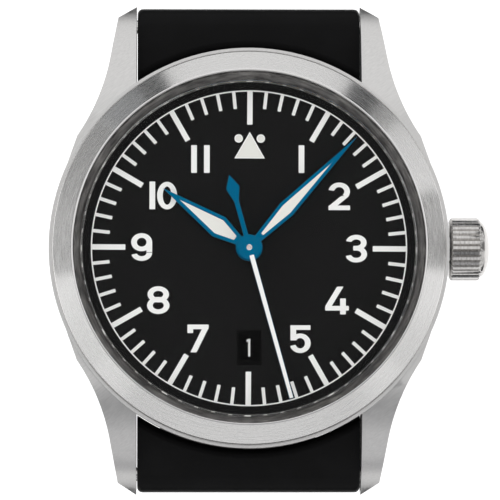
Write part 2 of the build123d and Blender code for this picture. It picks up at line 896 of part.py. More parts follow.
def strap_half(line, depth, side):
    """A padded strap half at its real widths, folded round its spring bar and fitted to the case."""
    slab = extrude(Plane.YZ * strap_side_face(line), strap_width / 2, both=True)
    body = slab & extrude(Plane.XZ * strap_front_face(depth), case_radius + depth, both=True)
    bar = side * bar_span
    body = body + rod_x(strap_thick / 2, -strap_width / 2, strap_width / 2, bar, bar_height)
    body = body + strap_nose(side)
    plane = Plane(origin=(-lug_gap, bar, bar_height), z_dir=(1, 0, 0))
    return body - fold_bore(bar_radius + strap_hole_gap, plane)


# The short half curls in until the buckle's bar is clear of the long half, whose bend starts beside it
short_turn = radians(short_bend_angle)
short_sweep = 2 * bar_span - short_end_clear - short_run * sin(short_turn)
short_bend_radius = short_sweep / (1 - cos(short_turn))
short_fall = short_drop + short_bend_radius * sin(short_turn) + short_run * cos(short_turn)
long_drop = short_fall - long_bend_rise
short_line = strap_line(1, short_drop, short_bend_radius, short_bend_angle, short_run)
long_line = strap_line(-1, long_drop, long_bend_radius, long_bend_angle, long_run)
short_depth = short_drop + short_bend_radius + short_run
long_depth = long_drop + long_bend_radius + strap_thick

# The buckle's frame of reference: X across the strap, Y on along it and Z out of the loop
short_end = short_line[4][0]
short_normal = short_line[4][1]
buckle_plane = Plane(
    origin=(0, short_end[0], short_end[1]),
    x_dir=(1, 0, 0),
    z_dir=(0, short_normal[0], short_normal[1]),
)


def at_buckle(shape):
    """Moves a shape drawn in the buckle's frame of reference to its place."""
    return buckle_plane.location * shape


def buckle_rod(radius, half_length):
    """A round bar on the buckle's axis."""
    return rod_x(radius, -half_length, half_length, 0, 0)


def tang_slot():
    """The slot in the strap's end that the tang swings in."""
    width = tang_width + 2 * tang_slot_gap
    length = tang_slot_depth + strap_thin
    slot = Box(width, length + 2 * overrun, 3 * strap_thick)
    return Pos(0, strap_thin / 2 - length / 2 + overrun, 0) * slot


def strap_12():
    """The 12 o'clock half, folded round the buckle's bar too and slotted for the tang."""
    body = strap_half(short_line, short_depth, 1)
    body = body + at_buckle(buckle_rod(strap_thin / 2, strap_end_width / 2))
    body = body - at_buckle(tang_slot())
    plane = Plane(origin=(-lug_gap, short_end[0], short_end[1]), z_dir=(1, 0, 0))
    return body - fold_bore(buckle_bar_radius + strap_hole_gap, plane)


def long_holes():
    """The adjustment holes in the tail, square to the strap's line along its straight and its bend."""
    tools = []
    knee_normal = long_line[3][1]
    knee = long_line[3][0]
    centre = (knee[0] - long_bend_radius * knee_normal[0], knee[1] - long_bend_radius * knee_normal[1])
    for i in range(strap_hole_count):
        back = strap_hole_start + i * strap_hole_pitch - long_run
        turn = radians(long_bend_angle) - back / long_bend_radius
        out = (-cos(turn), -sin(turn))
        inside = long_bend_radius - strap_thick
        spot = (centre[0] + inside * out[0], centre[1] + inside * out[1])
        plane = Plane(origin=(0, spot[0], spot[1]), x_dir=(1, 0, 0), z_dir=(0, out[0], out[1]))
        tools.append(extrude(plane * RegularPolygon(strap_hole_radius, strap_hole_sides), 2 * strap_thick))
    return tools


def strap_6():
    """The 6 o'clock half, with its rounded tip and its adjustment holes."""
    body = strap_half(long_line, long_depth, -1)
    tip = long_line[4][0][0]
    corner = Pos(0, tip - strap_end_width, long_line[4][0][1]) * Box(
        strap_end_width + 2 * overrun, 2 * strap_end_width, 2 * strap_thick
    )
    corner = fillet(corner.edges().filter_by(Axis.Z).group_by(Axis.Y)[-1], strap_tip_radius)
    keep = corner + Pos(0, -lug_span - strap_thick, 0) * Box(
        2 * strap_width, 2 * (lug_span + strap_thick + tip - strap_end_width), 4 * long_depth
    )
    body = body & keep
    for tool in long_holes():
        body = body - tool
    return body


def buckle():
    """The pin buckle's frame: two sides and a rounded front bar with the tang's notch."""
    half = strap_end_width / 2 + buckle_clearance
    outer = half + buckle_side
    length = buckle_reach + buckle_heel
    blank = Pos(0, length / 2 - buckle_heel) * RectangleRounded(2 * outer, length, buckle_corner)
    opening_end = buckle_reach - buckle_front
    opening = Pos(0, (opening_end - 2 * length) / 2) * Rectangle(2 * half, opening_end + 2 * length)
    frame = Pos(0, 0, -buckle_thickness / 2) * extrude(blank - opening, buckle_thickness)
    notch_low = buckle_thickness / 2 - tang_notch_depth
    notch = Pos(0, buckle_reach - buckle_front / 2, notch_low + overrun / 2) * Box(
        tang_width + 2 * tang_slot_gap, buckle_front + 2 * overrun, overrun
    )
    frame = frame - notch
    return frame - buckle_rod(buckle_bar_radius + slip_gap, half + buckle_bar_seat + slip_gap)


def buckle_bar():
    """The bar that carries the buckle and the tang, seated in a hole of each side of the frame."""
    return buckle_rod(buckle_bar_radius, strap_end_width / 2 + buckle_clearance + buckle_bar_seat)


def tang():
    """The tang: an eye on the bar and a bent tongue that lies in the notch of the front bar."""
    rest = buckle_thickness / 2 - tang_notch_depth + tang_rest
    outline = Polyline(
        (0, 0),
        (tang_eye, 0),
        (buckle_reach - buckle_front - tang_thickness, rest),
        (buckle_reach, rest),
        (buckle_reach, rest + tang_thickness / 2),
        (buckle_reach - buckle_front, rest + tang_thickness),
        (0, tang_eye),
        close=True,
    )
    tongue = extrude(Plane.YZ * make_face(outline), tang_width / 2, both=True)
    body = tongue + rod_x(tang_eye, -tang_width / 2, tang_width / 2, 0, 0)
    return body - buckle_rod(buckle_bar_radius + strap_hole_gap, strap_width)


def keeper(middle):
    """A strap keeper round the 12 o'clock half, with room on the outside for the tail."""
    inner_low = -strap_thin / 2 - keeper_inner_gap
    inner_high = strap_thin / 2 + keeper_room
    width = strap_end_width + 2 * buckle_clearance
    middle_height = (inner_low + inner_high) / 2
    height = inner_high - inner_low
    section = RectangleRounded(width + 2 * keeper_wall, height + 2 * keeper_wall, keeper_corner)
    section = section - Rectangle(width, height)
    plane = Plane(origin=(0, middle + keeper_length / 2, middle_height), x_dir=(1, 0, 0), z_dir=(0, -1, 0))
    return extrude(plane * section, keeper_length)


def save(name, shape):
    """Writes one piece under its node's name."""
    export_step(shape, f"parts/{name}.step")


hour_hand, hour_lume = hour_hand_and_lume()
minute_hand, minute_lume = minute_hand_and_lume()
pieces = {
    "mid_case": mid_case(),
    "bezel": bezel(),
    "crystal": crystal(),
    "flange_ring": flange_ring(),
    "dial": dial(),
    "date_ring": date_ring(),
    "hour_hand": hour_hand,
    "hour_hand_lume": hour_lume,
    "minute_hand": minute_hand,
    "minute_hand_lume": minute_lume,
    "second_hand": second_hand(),
    "crown": crown(),
    "crown_tube": crown_tube(),
    "stem": stem(),
    "case_back": case_back(),
    "movement_ring": movement_ring(),
    "main_plate": main_plate(),
    "barrel_bridge": barrel_bridge(),
    "train_bridge": train_bridge(),
    "balance_cock": balance_cock(),
    "barrel": barrel(),
    "centre_wheel": centre_wheel(),
    "third_wheel": third_wheel(),
    "fourth_wheel": fourth_wheel(),
    "escape_wheel": escape_wheel(),
    "pallet_fork": pallet_fork(),
    "balance_wheel": balance_wheel(),
    "hairspring": hairspring(),
    "cannon_pinion": cannon_pinion(),
    "minute_wheel": minute_wheel(),
    "hour_wheel": hour_wheel(),
    "rotor": rotor(),
    "rotor_bearing": rotor_bearing(),
    "spring_bar_12": spring_bar(1),
    "spring_bar_6": spring_bar(-1),
    "strap_12": strap_12(),
    "strap_6": strap_6(),
    "buckle": at_buckle(buckle()),
    "buckle_bar": at_buckle(buckle_bar()),
    "tang": at_buckle(tang()),
    "fixed_keeper": at_buckle(keeper(-fixed_keeper_from_bar - keeper_length / 2)),
    "free_keeper": at_buckle(keeper(-short_run + free_keeper_from_bend + keeper_length / 2)),
}
for name, shape in pieces.items():
    save(name, shape)
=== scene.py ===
from math import atan2, cos, exp, pi, radians, sin, sqrt, tan

import bmesh
import bpy
from mathutils import Matrix, Vector


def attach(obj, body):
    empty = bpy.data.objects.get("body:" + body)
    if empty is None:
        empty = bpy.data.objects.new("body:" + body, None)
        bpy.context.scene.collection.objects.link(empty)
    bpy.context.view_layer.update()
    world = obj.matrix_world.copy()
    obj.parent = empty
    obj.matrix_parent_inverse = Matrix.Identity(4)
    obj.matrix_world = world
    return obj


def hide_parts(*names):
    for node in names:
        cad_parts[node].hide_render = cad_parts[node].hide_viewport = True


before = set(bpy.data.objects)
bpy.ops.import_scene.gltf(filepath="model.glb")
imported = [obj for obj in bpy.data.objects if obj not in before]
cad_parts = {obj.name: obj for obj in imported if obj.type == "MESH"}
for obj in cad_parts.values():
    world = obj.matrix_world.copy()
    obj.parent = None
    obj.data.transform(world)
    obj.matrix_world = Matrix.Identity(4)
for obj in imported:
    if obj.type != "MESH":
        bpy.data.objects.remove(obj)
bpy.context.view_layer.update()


# The studio: a white room with a white floor under the hanging strap, and soft lamps round the watch.
# The camera stands 40 cm over the dial, a little to the 6 o'clock side and to the left.
MM = 0.001
DIAL_TOP = 6.6
FLOOR = -88.0
VIEW_DISTANCE = 400.0
VIEW_WIDTH = 48.7
VIEW_TO_6 = radians(3.0)
VIEW_TO_9 = radians(1.0)
VIEW_TILT = radians(3.2)
VIEW_SHIFT = (0.0018, -0.0041)
scene = bpy.context.scene
scene.view_settings.view_transform = "Standard"


def linear(code):
    """The linear colour of an sRGB hex value."""
    parts = [int(code[i:i + 2], 16) / 255 for i in (0, 2, 4)]
    return (*(c / 12.92 if c <= 0.04045 else ((c + 0.055) / 1.055) ** 2.4 for c in parts), 1.0)


def add(tree, kind, settings, links):
    """A node with its settings and links. Links take the output of another node."""
    node = tree.nodes.new(kind)
    for key, value in settings.items():
        if isinstance(key, str) and hasattr(node, key):
            setattr(node, key, value)
        else:
            node.inputs[key].default_value = value
    for key, output in links.items():
        tree.links.new(output, node.inputs[key])
    return node


def seen_ray(tree):
    """1 for what the camera sees straight, in metal or through glass, and 0 for the light on things."""
    path = add(tree, "ShaderNodeLightPath", {}, {})
    both = add(tree, "ShaderNodeMath", {"operation": "MAXIMUM"},
               {0: path.outputs["Is Camera Ray"], 1: path.outputs["Is Glossy Ray"]})
    return add(tree, "ShaderNodeMath", {"operation": "MAXIMUM"},
               {0: both.outputs[0], 1: path.outputs["Is Transmission Ray"]}).outputs[0]


room = bpy.data.worlds.new("white room")
scene.world = room
room.use_nodes = True
room.node_tree.nodes.clear()
walls = add(room.node_tree, "ShaderNodeBackground", {"Color": linear("ffffff"), "Strength": 0.80}, {})
backdrop = add(room.node_tree, "ShaderNodeBackground", {"Color": linear("ffffff"), "Strength": 1.0}, {})
mixed = add(room.node_tree, "ShaderNodeMixShader", {},
            {0: seen_ray(room.node_tree), 1: walls.outputs[0], 2: backdrop.outputs[0]})
add(room.node_tree, "ShaderNodeOutputWorld", {}, {"Surface": mixed.outputs[0]})


def new_material(name, colour, roughness, metallic=0.0):
    """A material with its colour, roughness and metallic set on the shader."""
    material = bpy.data.materials.new(name)
    material.use_nodes = True
    shader = material.node_tree.nodes["Principled BSDF"]
    shader.inputs["Base Color"].default_value = linear(colour)
    shader.inputs["Roughness"].default_value = roughness
    shader.inputs["Metallic"].default_value = metallic
    return material, material.node_tree, shader


def loose_object(name, mesh):
    """An object in the scene from a finished bmesh."""
    data = bpy.data.meshes.new(name)
    mesh.to_mesh(data)
    mesh.free()
    made = bpy.data.objects.new(name, data)
    scene.collection.objects.link(made)
    return made


# The floor's own colour is pale, and a glow that only seen rays meet brings it up to white past the shadow
floor_paint, tree, shader = new_material("matt white floor paint", "f6f6f6", 0.85)
glow = add(tree, "ShaderNodeMath", {"operation": "MULTIPLY", 1: 0.40}, {0: seen_ray(tree)})
shader.inputs["Emission Color"].default_value = linear("ffffff")
tree.links.new(glow.outputs[0], shader.inputs["Emission Strength"])
mesh = bmesh.new()
bmesh.ops.create_grid(mesh, x_segments=1, y_segments=1, size=3.0)
bmesh.ops.translate(mesh, verts=mesh.verts, vec=(0, 0, FLOOR * MM))
floor = loose_object("studio_floor", mesh)
floor.data.materials.append(floor_paint)


def soft_lamp(name, place, size, power):
    """A square soft lamp that points at the dial."""
    lamp = bpy.data.lights.new(name, "AREA")
    lamp.shape = "SQUARE"
    lamp.size = size
    lamp.energy = power
    made = bpy.data.objects.new(name, lamp)
    scene.collection.objects.link(made)
    made.location = place
    made.rotation_euler = (Vector((0, 0, 0)) - made.location).to_track_quat("-Z", "Y").to_euler()
    made.visible_glossy = False


soft_lamp("lamp_12", (-0.12, 0.50, 0.42), 0.45, 0.9)
soft_lamp("lamp_6", (0.10, -0.52, 0.40), 0.45, 0.7)
soft_lamp("lamp_3", (0.50, 0.05, 0.35), 0.35, 0.35)
soft_lamp("lamp_9", (-0.50, -0.05, 0.35), 0.35, 0.35)


def grey_card(name, place, size, tone, faces=(0, 0, 0)):
    """A grey card that only metal and glass see, so that the steel has darker parts to mirror. It faces a point."""
    paper, tree, shader = new_material(name + " paper", "000000", 1.0)
    shader.inputs["Specular IOR Level"].default_value = 0.0
    shader.inputs["Emission Color"].default_value = linear(tone)
    shader.inputs["Emission Strength"].default_value = 1.0
    mesh = bmesh.new()
    bmesh.ops.create_grid(mesh, x_segments=1, y_segments=1, size=0.5)
    bmesh.ops.scale(mesh, verts=mesh.verts, vec=(size[0], size[1], 1.0))
    turn = (Vector(faces) - Vector(place)).to_track_quat("Z", "Y").to_matrix().to_4x4()
    bmesh.ops.transform(mesh, matrix=Matrix.Translation(place) @ turn, verts=mesh.verts)
    card = loose_object(name, mesh)
    card.data.materials.append(paper)
    card.visible_camera = False
    card.visible_diffuse = False
    card.visible_shadow = False
    card.visible_transmission = False


# Cards in a ring, which the bezel's slope mirrors: first and last bearing from 3 o'clock towards 12, and tone
CARD_REACH = 0.8
CARDS = ((-4, 20, "848484"), (20, 42, "eeeeee"), (42, 49, "acacac"), (49, 59, "343638"), (114, 123, "3c3e40"),
         (123, 136, "9a9c9e"), (136, 186, "989898"), (188, 216, "f2f2f2"), (324, 354, "eeeeee"))
for first, last, tone in CARDS:
    middle = radians((first + last) / 2)
    grey_card(f"card_at_{first}", (CARD_REACH * cos(middle), CARD_REACH * sin(middle), 0.12),
              (2 * CARD_REACH * tan(radians(last - first) / 2), 0.9), tone)

# Three cards over 6 o'clock shade the lower lugs, and two on the floor darken the tips of all four
grey_card("card_over_6", (0, -0.31, 1.09), (1.8, 0.46), "88898b")
grey_card("card_high_at_6", (0, -0.71, 0.88), (1.8, 0.44), "e6e6e7")
grey_card("card_mid_at_6", (0, -1.00, 0.53), (1.8, 0.46), "b0b0b2")
for side in (-1, 1):
    y = 0.36 * side
    grey_card(f"card_on_the_floor_{side}", (0, y, (FLOOR + 2) * MM), (0.9, 0.5), "2e3032", faces=(0, y, 0))

eye = bpy.data.cameras.new("camera")
camera = bpy.data.objects.new("camera", eye)
scene.collection.objects.link(camera)
scene.camera = camera
dial_centre = Vector((0, 0, DIAL_TOP * MM))
towards = Vector((-sin(VIEW_TO_9), -sin(VIEW_TO_6), cos(VIEW_TILT))).normalized()
camera.location = dial_centre + towards * VIEW_DISTANCE * MM
side = Vector((0, 1, 0)).cross(towards).normalized()
up = towards.cross(side)
camera.rotation_euler = Matrix((side, up, towards)).transposed().to_euler()
eye.lens = eye.sensor_width * VIEW_DISTANCE / VIEW_WIDTH
eye.shift_x, eye.shift_y = VIEW_SHIFT
eye.clip_start = 0.01


# Case middle: steel, turned and milled in one piece with its four lugs. It is brushed slantwise, its edges are
# broken, and the shoulder round the bezel's foot is polished.
EDGE = 0.10
# The arc of the lugs' backs in the solid: radius, then how far out and how high its middle lies
LUG_ARC = 17.087
LUG_ARC_OUT = 12.918
LUG_ARC_HIGH = -10.064
# From here out the backs swell a little and then bend down to the tips
LUG_BEND_START = 19.4
LUG_BEND_LENGTH = 4.65
LUG_SWELL = 0.15
LUG_DROP = 0.85
BACK_SKIN = 0.30


def piece(name, mesh, body, slot, *materials, sharp=28):
    """A finished piece of the watch on its body, smooth but for its sharp edges."""
    for face in mesh.faces:
        face.smooth = True
    for edge in mesh.edges:
        if len(edge.link_faces) == 2 and edge.calc_face_angle(0) > radians(sharp):
            edge.smooth = False
    made = loose_object(name, mesh)
    for material in materials:
        made.data.materials.append(material)
    flats = made.modifiers.new("flats", "WEIGHTED_NORMAL")
    flats.keep_sharp = True
    made.data = bpy.data.meshes.new_from_object(made.evaluated_get(bpy.context.evaluated_depsgraph_get()))
    made.modifiers.remove(flats)
    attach(made, body)
    return made


def eased(node, width, segments=2):
    """A copy of a solid with its edges broken."""
    mesh = bmesh.new()
    mesh.from_mesh(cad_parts[node].data)
    bmesh.ops.remove_doubles(mesh, verts=mesh.verts, dist=1e-6)
    bmesh.ops.dissolve_limit(mesh, angle_limit=radians(0.5), verts=mesh.verts, edges=mesh.edges)
    edges = [e for e in mesh.edges if len(e.link_faces) == 2 and e.calc_face_angle(0) > radians(24)]
    bmesh.ops.bevel(mesh, geom=edges, offset=width * MM, offset_type="OFFSET", segments=segments,
                    profile=0.5, affect="EDGES", material=-1, clamp_overlap=True)
    return mesh


def mottled(tree, shader, pattern, dark, light):
    """A colour that a pattern moves between two tones."""
    ramp = add(tree, "ShaderNodeValToRGB", {}, {0: pattern})
    ramp.color_ramp.elements[0].color = linear(dark)
    ramp.color_ramp.elements[1].color = linear(light)
    tree.links.new(ramp.outputs[0], shader.inputs["Base Color"])
    return ramp


def uneven_gloss(tree, shader, pattern, low, high):
    """A roughness that a pattern moves between two values."""
    gloss = add(tree, "ShaderNodeMapRange", {"To Min": low, "To Max": high}, {0: pattern})
    tree.links.new(gloss.outputs[0], shader.inputs["Roughness"])


def relief(tree, shader, pattern, strength, depth):
    """A fine relief from a pattern, as deep as this in millimetres."""
    bump = add(tree, "ShaderNodeBump", {"Strength": strength, "Distance": depth * MM}, {"Height": pattern})
    tree.links.new(bump.outputs[0], shader.inputs["Normal"])


def straight_grain(tree, turn, spacing=0.14):
    """Object coordinates drawn out along one direction. Real grain is finer than the picture shows."""
    place = add(tree, "ShaderNodeTexCoord", {}, {})
    fine = 1 / (spacing * MM)
    return add(tree, "ShaderNodeMapping", {"vector_type": "TEXTURE", "Rotation": (0, 0, turn),
                                           "Scale": (40 / fine, 1 / fine, 1 / fine)},
               {"Vector": place.outputs["Object"]}).outputs[0]


def round_grain(tree, spacing):
    """The same, drawn out round the watch's axis: a bearing that changes slowly and a reach that doesn't."""
    place = add(tree, "ShaderNodeTexCoord", {}, {})
    fine = 1 / (spacing * MM)
    parts = add(tree, "ShaderNodeSeparateXYZ", {}, {0: place.outputs["Object"]})
    flat = add(tree, "ShaderNodeCombineXYZ", {}, {0: parts.outputs[0], 1: parts.outputs[1]})
    reach = add(tree, "ShaderNodeVectorMath", {"operation": "LENGTH"}, {0: flat.outputs[0]})
    bearing = add(tree, "ShaderNodeVectorMath", {"operation": "NORMALIZE"}, {0: flat.outputs[0]})
    slow = add(tree, "ShaderNodeVectorMath", {"operation": "SCALE", "Scale": 9.0}, {0: bearing.outputs[0]})
    high = add(tree, "ShaderNodeMath", {"operation": "MULTIPLY", 1: fine}, {0: reach.outputs["Value"]})
    quick = add(tree, "ShaderNodeCombineXYZ", {}, {2: high.outputs[0]})
    return add(tree, "ShaderNodeVectorMath", {"operation": "ADD"},
               {0: slow.outputs[0], 1: quick.outputs[0]}).outputs[0]


def brushed_steel(name, dark, light, roughness, grain, **course):
    """Stainless steel with a satin grain: a touch of tone, roughness and relief from line to line."""
    material, tree, shader = new_material(name, light, roughness, 1.0)
    lines = add(tree, "ShaderNodeTexNoise", {"Scale": 1.0, "Detail": 3.0, "Roughness": 0.6},
                {"Vector": grain(tree, **course)})
    ramp = mottled(tree, shader, lines.outputs[0], dark, light)
    ramp.color_ramp.elements[0].position = 0.30
    ramp.color_ramp.elements[1].position = 0.70
    rough = add(tree, "ShaderNodeMapRange", {"From Min": 0.3, "From Max": 0.7, "To Min": roughness - 0.05,
                                             "To Max": roughness + 0.05}, {0: lines.outputs[0]})
    tree.links.new(rough.outputs[0], shader.inputs["Roughness"])
    relief(tree, shader, lines.outputs[0], 0.15, 0.02)
    return material


case_steel = brushed_steel("316L steel, slantwise satin", "cac9c8", "dad9d8", 0.34,
                           straight_grain, turn=radians(38), spacing=0.08)
polished_steel, tree, shader = new_material("316L steel, polished", "dcdbda", 0.10, 1.0)
smears = add(tree, "ShaderNodeTexNoise", {"Scale": 900.0, "Detail": 4.0}, {})
uneven_gloss(tree, shader, smears.outputs[0], 0.06, 0.14)
mesh = eased("mid_case", EDGE)
for v in mesh.verts:
    along = abs(v.co.y) / MM
    if along <= LUG_BEND_START:
        continue
    back = sqrt(LUG_ARC ** 2 - (along - LUG_ARC_OUT) ** 2) + LUG_ARC_HIGH
    if v.co.z / MM > back - BACK_SKIN:
        share = (along - LUG_BEND_START) / LUG_BEND_LENGTH
        v.co.z += (LUG_SWELL * sin(pi * share) - LUG_DROP * share ** 3) * MM
for face in mesh.faces:
    middle = face.calc_center_median() / MM
    if middle.z > 7.3 and 18.0 < sqrt(middle.x ** 2 + middle.y ** 2) < 19.6:
        face.material_index = 1
case = piece("case_middle_finished", mesh, "head", "case_steel", case_steel, polished_steel)
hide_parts("mid_case")


# Bezel: steel, turned, pressed on the case middle. The steep slope is brushed round, the rim under it and
# the lip at the crystal are polished.
BEZEL_FOOT = 19.20
BEZEL_BORE = 17.07
BEZEL_LOW = 7.4
BEZEL_WALL = 0.6
BEZEL_TOP = 9.7


def turned(outline, steps=256, closed=True):
    """A body of revolution about the watch's axis from (radius, height) corners in millimetres."""
    mesh = bmesh.new()
    corners = [mesh.verts.new((r * MM, 0, z * MM)) for r, z in outline]
    count = len(corners) if closed else len(corners) - 1
    edges = [mesh.edges.new((corners[i], corners[(i + 1) % len(corners)])) for i in range(count)]
    bmesh.ops.spin(mesh, geom=corners + edges, cent=(0, 0, 0), axis=(0, 0, 1), dvec=(0, 0, 0),
                   angle=2 * pi, steps=steps, use_merge=True, use_duplicate=False)
    bmesh.ops.remove_doubles(mesh, verts=mesh.verts, dist=1e-7)
    bmesh.ops.recalc_face_normals(mesh, faces=mesh.faces)
    return mesh


def rounded(outline, radius, steps=3):
    """The corners of an outline, each turned into a short arc."""
    result = []
    for i, corner in enumerate(outline):
        here = Vector(corner)
        before = Vector(outline[i - 1]) - here
        after = Vector(outline[(i + 1) % len(outline)]) - here
        reach = min(radius, 0.45 * before.length, 0.45 * after.length)
        for k in range(steps + 1):
            t = k / steps
            a = here + before.normalized() * reach * (1 - t) ** 2 + after.normalized() * reach * t ** 2
            result.append(tuple(a))
    return result


bezel_outline = rounded([(BEZEL_BORE, BEZEL_LOW), (BEZEL_FOOT, BEZEL_LOW), (BEZEL_FOOT, BEZEL_LOW + 0.34),
                         (BEZEL_FOOT - 0.02, BEZEL_LOW + 0.38), (BEZEL_FOOT - 0.06, BEZEL_LOW + 0.31),
                         (BEZEL_FOOT - 0.10, BEZEL_LOW + BEZEL_WALL), (BEZEL_BORE + 0.18, BEZEL_TOP),
                         (BEZEL_BORE, BEZEL_TOP)], 0.09)
bezel_steel = brushed_steel("316L steel, satin turned", "dcdbda", "eae9e8", 0.26, round_grain, spacing=0.11)
bezel_shader = bezel_steel.node_tree.nodes["Principled BSDF"]
bezel_shader.inputs["Anisotropic"].default_value = 0.9
bezel_shader.inputs["Anisotropic Rotation"].default_value = 0.25
tangent = add(bezel_steel.node_tree, "ShaderNodeTangent", {"direction_type": "RADIAL", "axis": "Z"}, {})
bezel_steel.node_tree.links.new(tangent.outputs[0], bezel_shader.inputs["Tangent"])
mesh = turned(bezel_outline)
for face in mesh.faces:
    middle = face.calc_center_median()
    reach = sqrt(middle.x ** 2 + middle.y ** 2) / MM
    on_slope = BEZEL_BORE + 0.22 < reach < BEZEL_FOOT - 0.16 and middle.z / MM > BEZEL_LOW + BEZEL_WALL
    face.material_index = 0 if on_slope else 1
bezel = piece("bezel_turned", mesh, "head", "case_steel", bezel_steel, polished_steel)
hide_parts("bezel")


# Crystal: flat sapphire with a ground chamfer, coated against reflections on both faces, so that little
# more than its edge shows.
CRYSTAL_RADIUS = 17.00
CRYSTAL_LOW = 8.3
CRYSTAL_TOP = 9.9
sapphire, tree, shader = new_material("coated sapphire", "000000", 0.02)
shader.inputs["Alpha"].default_value = 0.03
shader.inputs["Specular IOR Level"].default_value = 0.5
shader.inputs["IOR"].default_value = 1.77
haze = add(tree, "ShaderNodeTexNoise", {"Scale": 300.0, "Detail": 2.0}, {})
uneven_gloss(tree, shader, haze.outputs[0], 0.015, 0.03)
mesh = turned([(0, CRYSTAL_LOW), (CRYSTAL_RADIUS - 0.1, CRYSTAL_LOW), (CRYSTAL_RADIUS, CRYSTAL_LOW + 0.1),
               (CRYSTAL_RADIUS, CRYSTAL_TOP - 0.15), (CRYSTAL_RADIUS - 0.15, CRYSTAL_TOP), (0, CRYSTAL_TOP)],
              closed=False)
crystal = piece("crystal_ground", mesh, "head", "sapphire", sapphire)
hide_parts("crystal")


# Flange ring: steel, turned. A polished wall stands on the dial and mirrors its marks, and the slope above
# it is brushed round.
FLANGE_BORE = 16.16
FLANGE_RADIUS = 17.05
FLANGE_WALL = 16.43
flange_steel = brushed_steel("316L steel, satin turned, grey", "8a8686", "dcd9d7", 0.42, round_grain, spacing=0.20)
flange_wall_steel, tree, shader = new_material("316L steel, mirror polished", "ebeae8", 0.04, 1.0)
swirl = add(tree, "ShaderNodeTexNoise", {"Scale": 500.0, "Detail": 3.0}, {})
uneven_gloss(tree, shader, swirl.outputs[0], 0.02, 0.06)
# The wall leans outwards in five steps, and the slope goes on from its top to the crystal's foot
mesh = turned([(FLANGE_BORE, DIAL_TOP), (FLANGE_RADIUS, DIAL_TOP), (FLANGE_RADIUS, CRYSTAL_LOW),
               (FLANGE_WALL, DIAL_TOP + 0.31), (16.40, DIAL_TOP + 0.275), (16.36, DIAL_TOP + 0.235),
               (16.295, DIAL_TOP + 0.165), (16.23, DIAL_TOP + 0.09)])
for face in mesh.faces:
    middle = face.calc_center_median()
    reach = sqrt(middle.x ** 2 + middle.y ** 2) / MM
    face.material_index = 1 if reach < FLANGE_WALL - 0.01 and middle.z / MM > DIAL_TOP + 0.01 else 0
flange = piece("flange_ring_turned", mesh, "head", "case_steel", flange_steel, flange_wall_steel)
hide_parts("flange_ring")


# Dial: brass sheet in matt black lacquer, with a pressed frame round the date window. The marks are
# printed on it in white with luminous paint that stands a little proud.
PRINT = 0.04
BAR_OUTER = 15.35
BAR_INNER = 12.05
TICK_INNER = 13.65
BAR_WIDTH = 0.525
TICK_WIDTH = 0.33
CIRCLE_OUTER = 15.41
CIRCLE_INNER = 15.28
MARKS_TURN = radians(0.34)


def coat(node, material):
    """A solid of the frame gets a finish."""
    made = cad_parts[node]
    if not made.material_slots:
        made.data.materials.append(material)
    for slot in made.material_slots:
        slot.material = material


dial_lacquer, tree, shader = new_material("matt black dial lacquer", "121212", 0.55)
shader.inputs["Specular IOR Level"].default_value = 0.04
grit = add(tree, "ShaderNodeTexNoise", {"Scale": 9000.0, "Detail": 3.0}, {})
mottled(tree, shader, grit.outputs[0], "101010", "161616")
relief(tree, shader, grit.outputs[0], 0.2, 0.01)
coat("dial", dial_lacquer)

dial_print, tree, shader = new_material("white luminous print", "eceee9", 0.7)
powder = add(tree, "ShaderNodeTexNoise", {"Scale": 7000.0, "Detail": 2.0}, {})
mottled(tree, shader, powder.outputs[0], "f0f1ee", "fcfcfa")
lume_paint, tree, shader = new_material("cream luminous paint", "e7e7e1", 0.8)
grains = add(tree, "ShaderNodeTexNoise", {"Scale": 6000.0, "Detail": 2.0}, {})
mottled(tree, shader, grains.outputs[0], "dfdfd9", "efefe9")

mesh = bmesh.new()
for minute in range(60):
    inner, width = (BAR_INNER, BAR_WIDTH) if minute % 5 == 0 else (TICK_INNER, TICK_WIDTH)
    spin = Matrix.Rotation(-radians(6 * minute) - MARKS_TURN, 4, "Z")
    move = Matrix.Translation(Vector((0, (BAR_OUTER + inner) / 2, DIAL_TOP + PRINT / 2)) * MM)
    size = Matrix.Diagonal((width * MM, (BAR_OUTER - inner) * MM, PRINT * MM, 1))
    bmesh.ops.create_cube(mesh, size=1.0, matrix=spin @ move @ size)
piece("minute_marks", mesh, "head", "lume_white", dial_print)
mesh = turned([(CIRCLE_INNER, DIAL_TOP), (CIRCLE_OUTER, DIAL_TOP), (CIRCLE_OUTER, DIAL_TOP + PRINT / 2),
               (CIRCLE_INNER, DIAL_TOP + PRINT / 2)])
piece("minute_circle", mesh, "head", "lume_white", dial_print)


def draw_out(mesh, faces, way):
    """Flat faces drawn out into a solid piece by a way in millimetres."""
    drawn = bmesh.ops.extrude_face_region(mesh, geom=faces)["geom"]
    bmesh.ops.translate(mesh, vec=Vector(way) * MM, verts=[v for v in drawn if isinstance(v, bmesh.types.BMVert)])


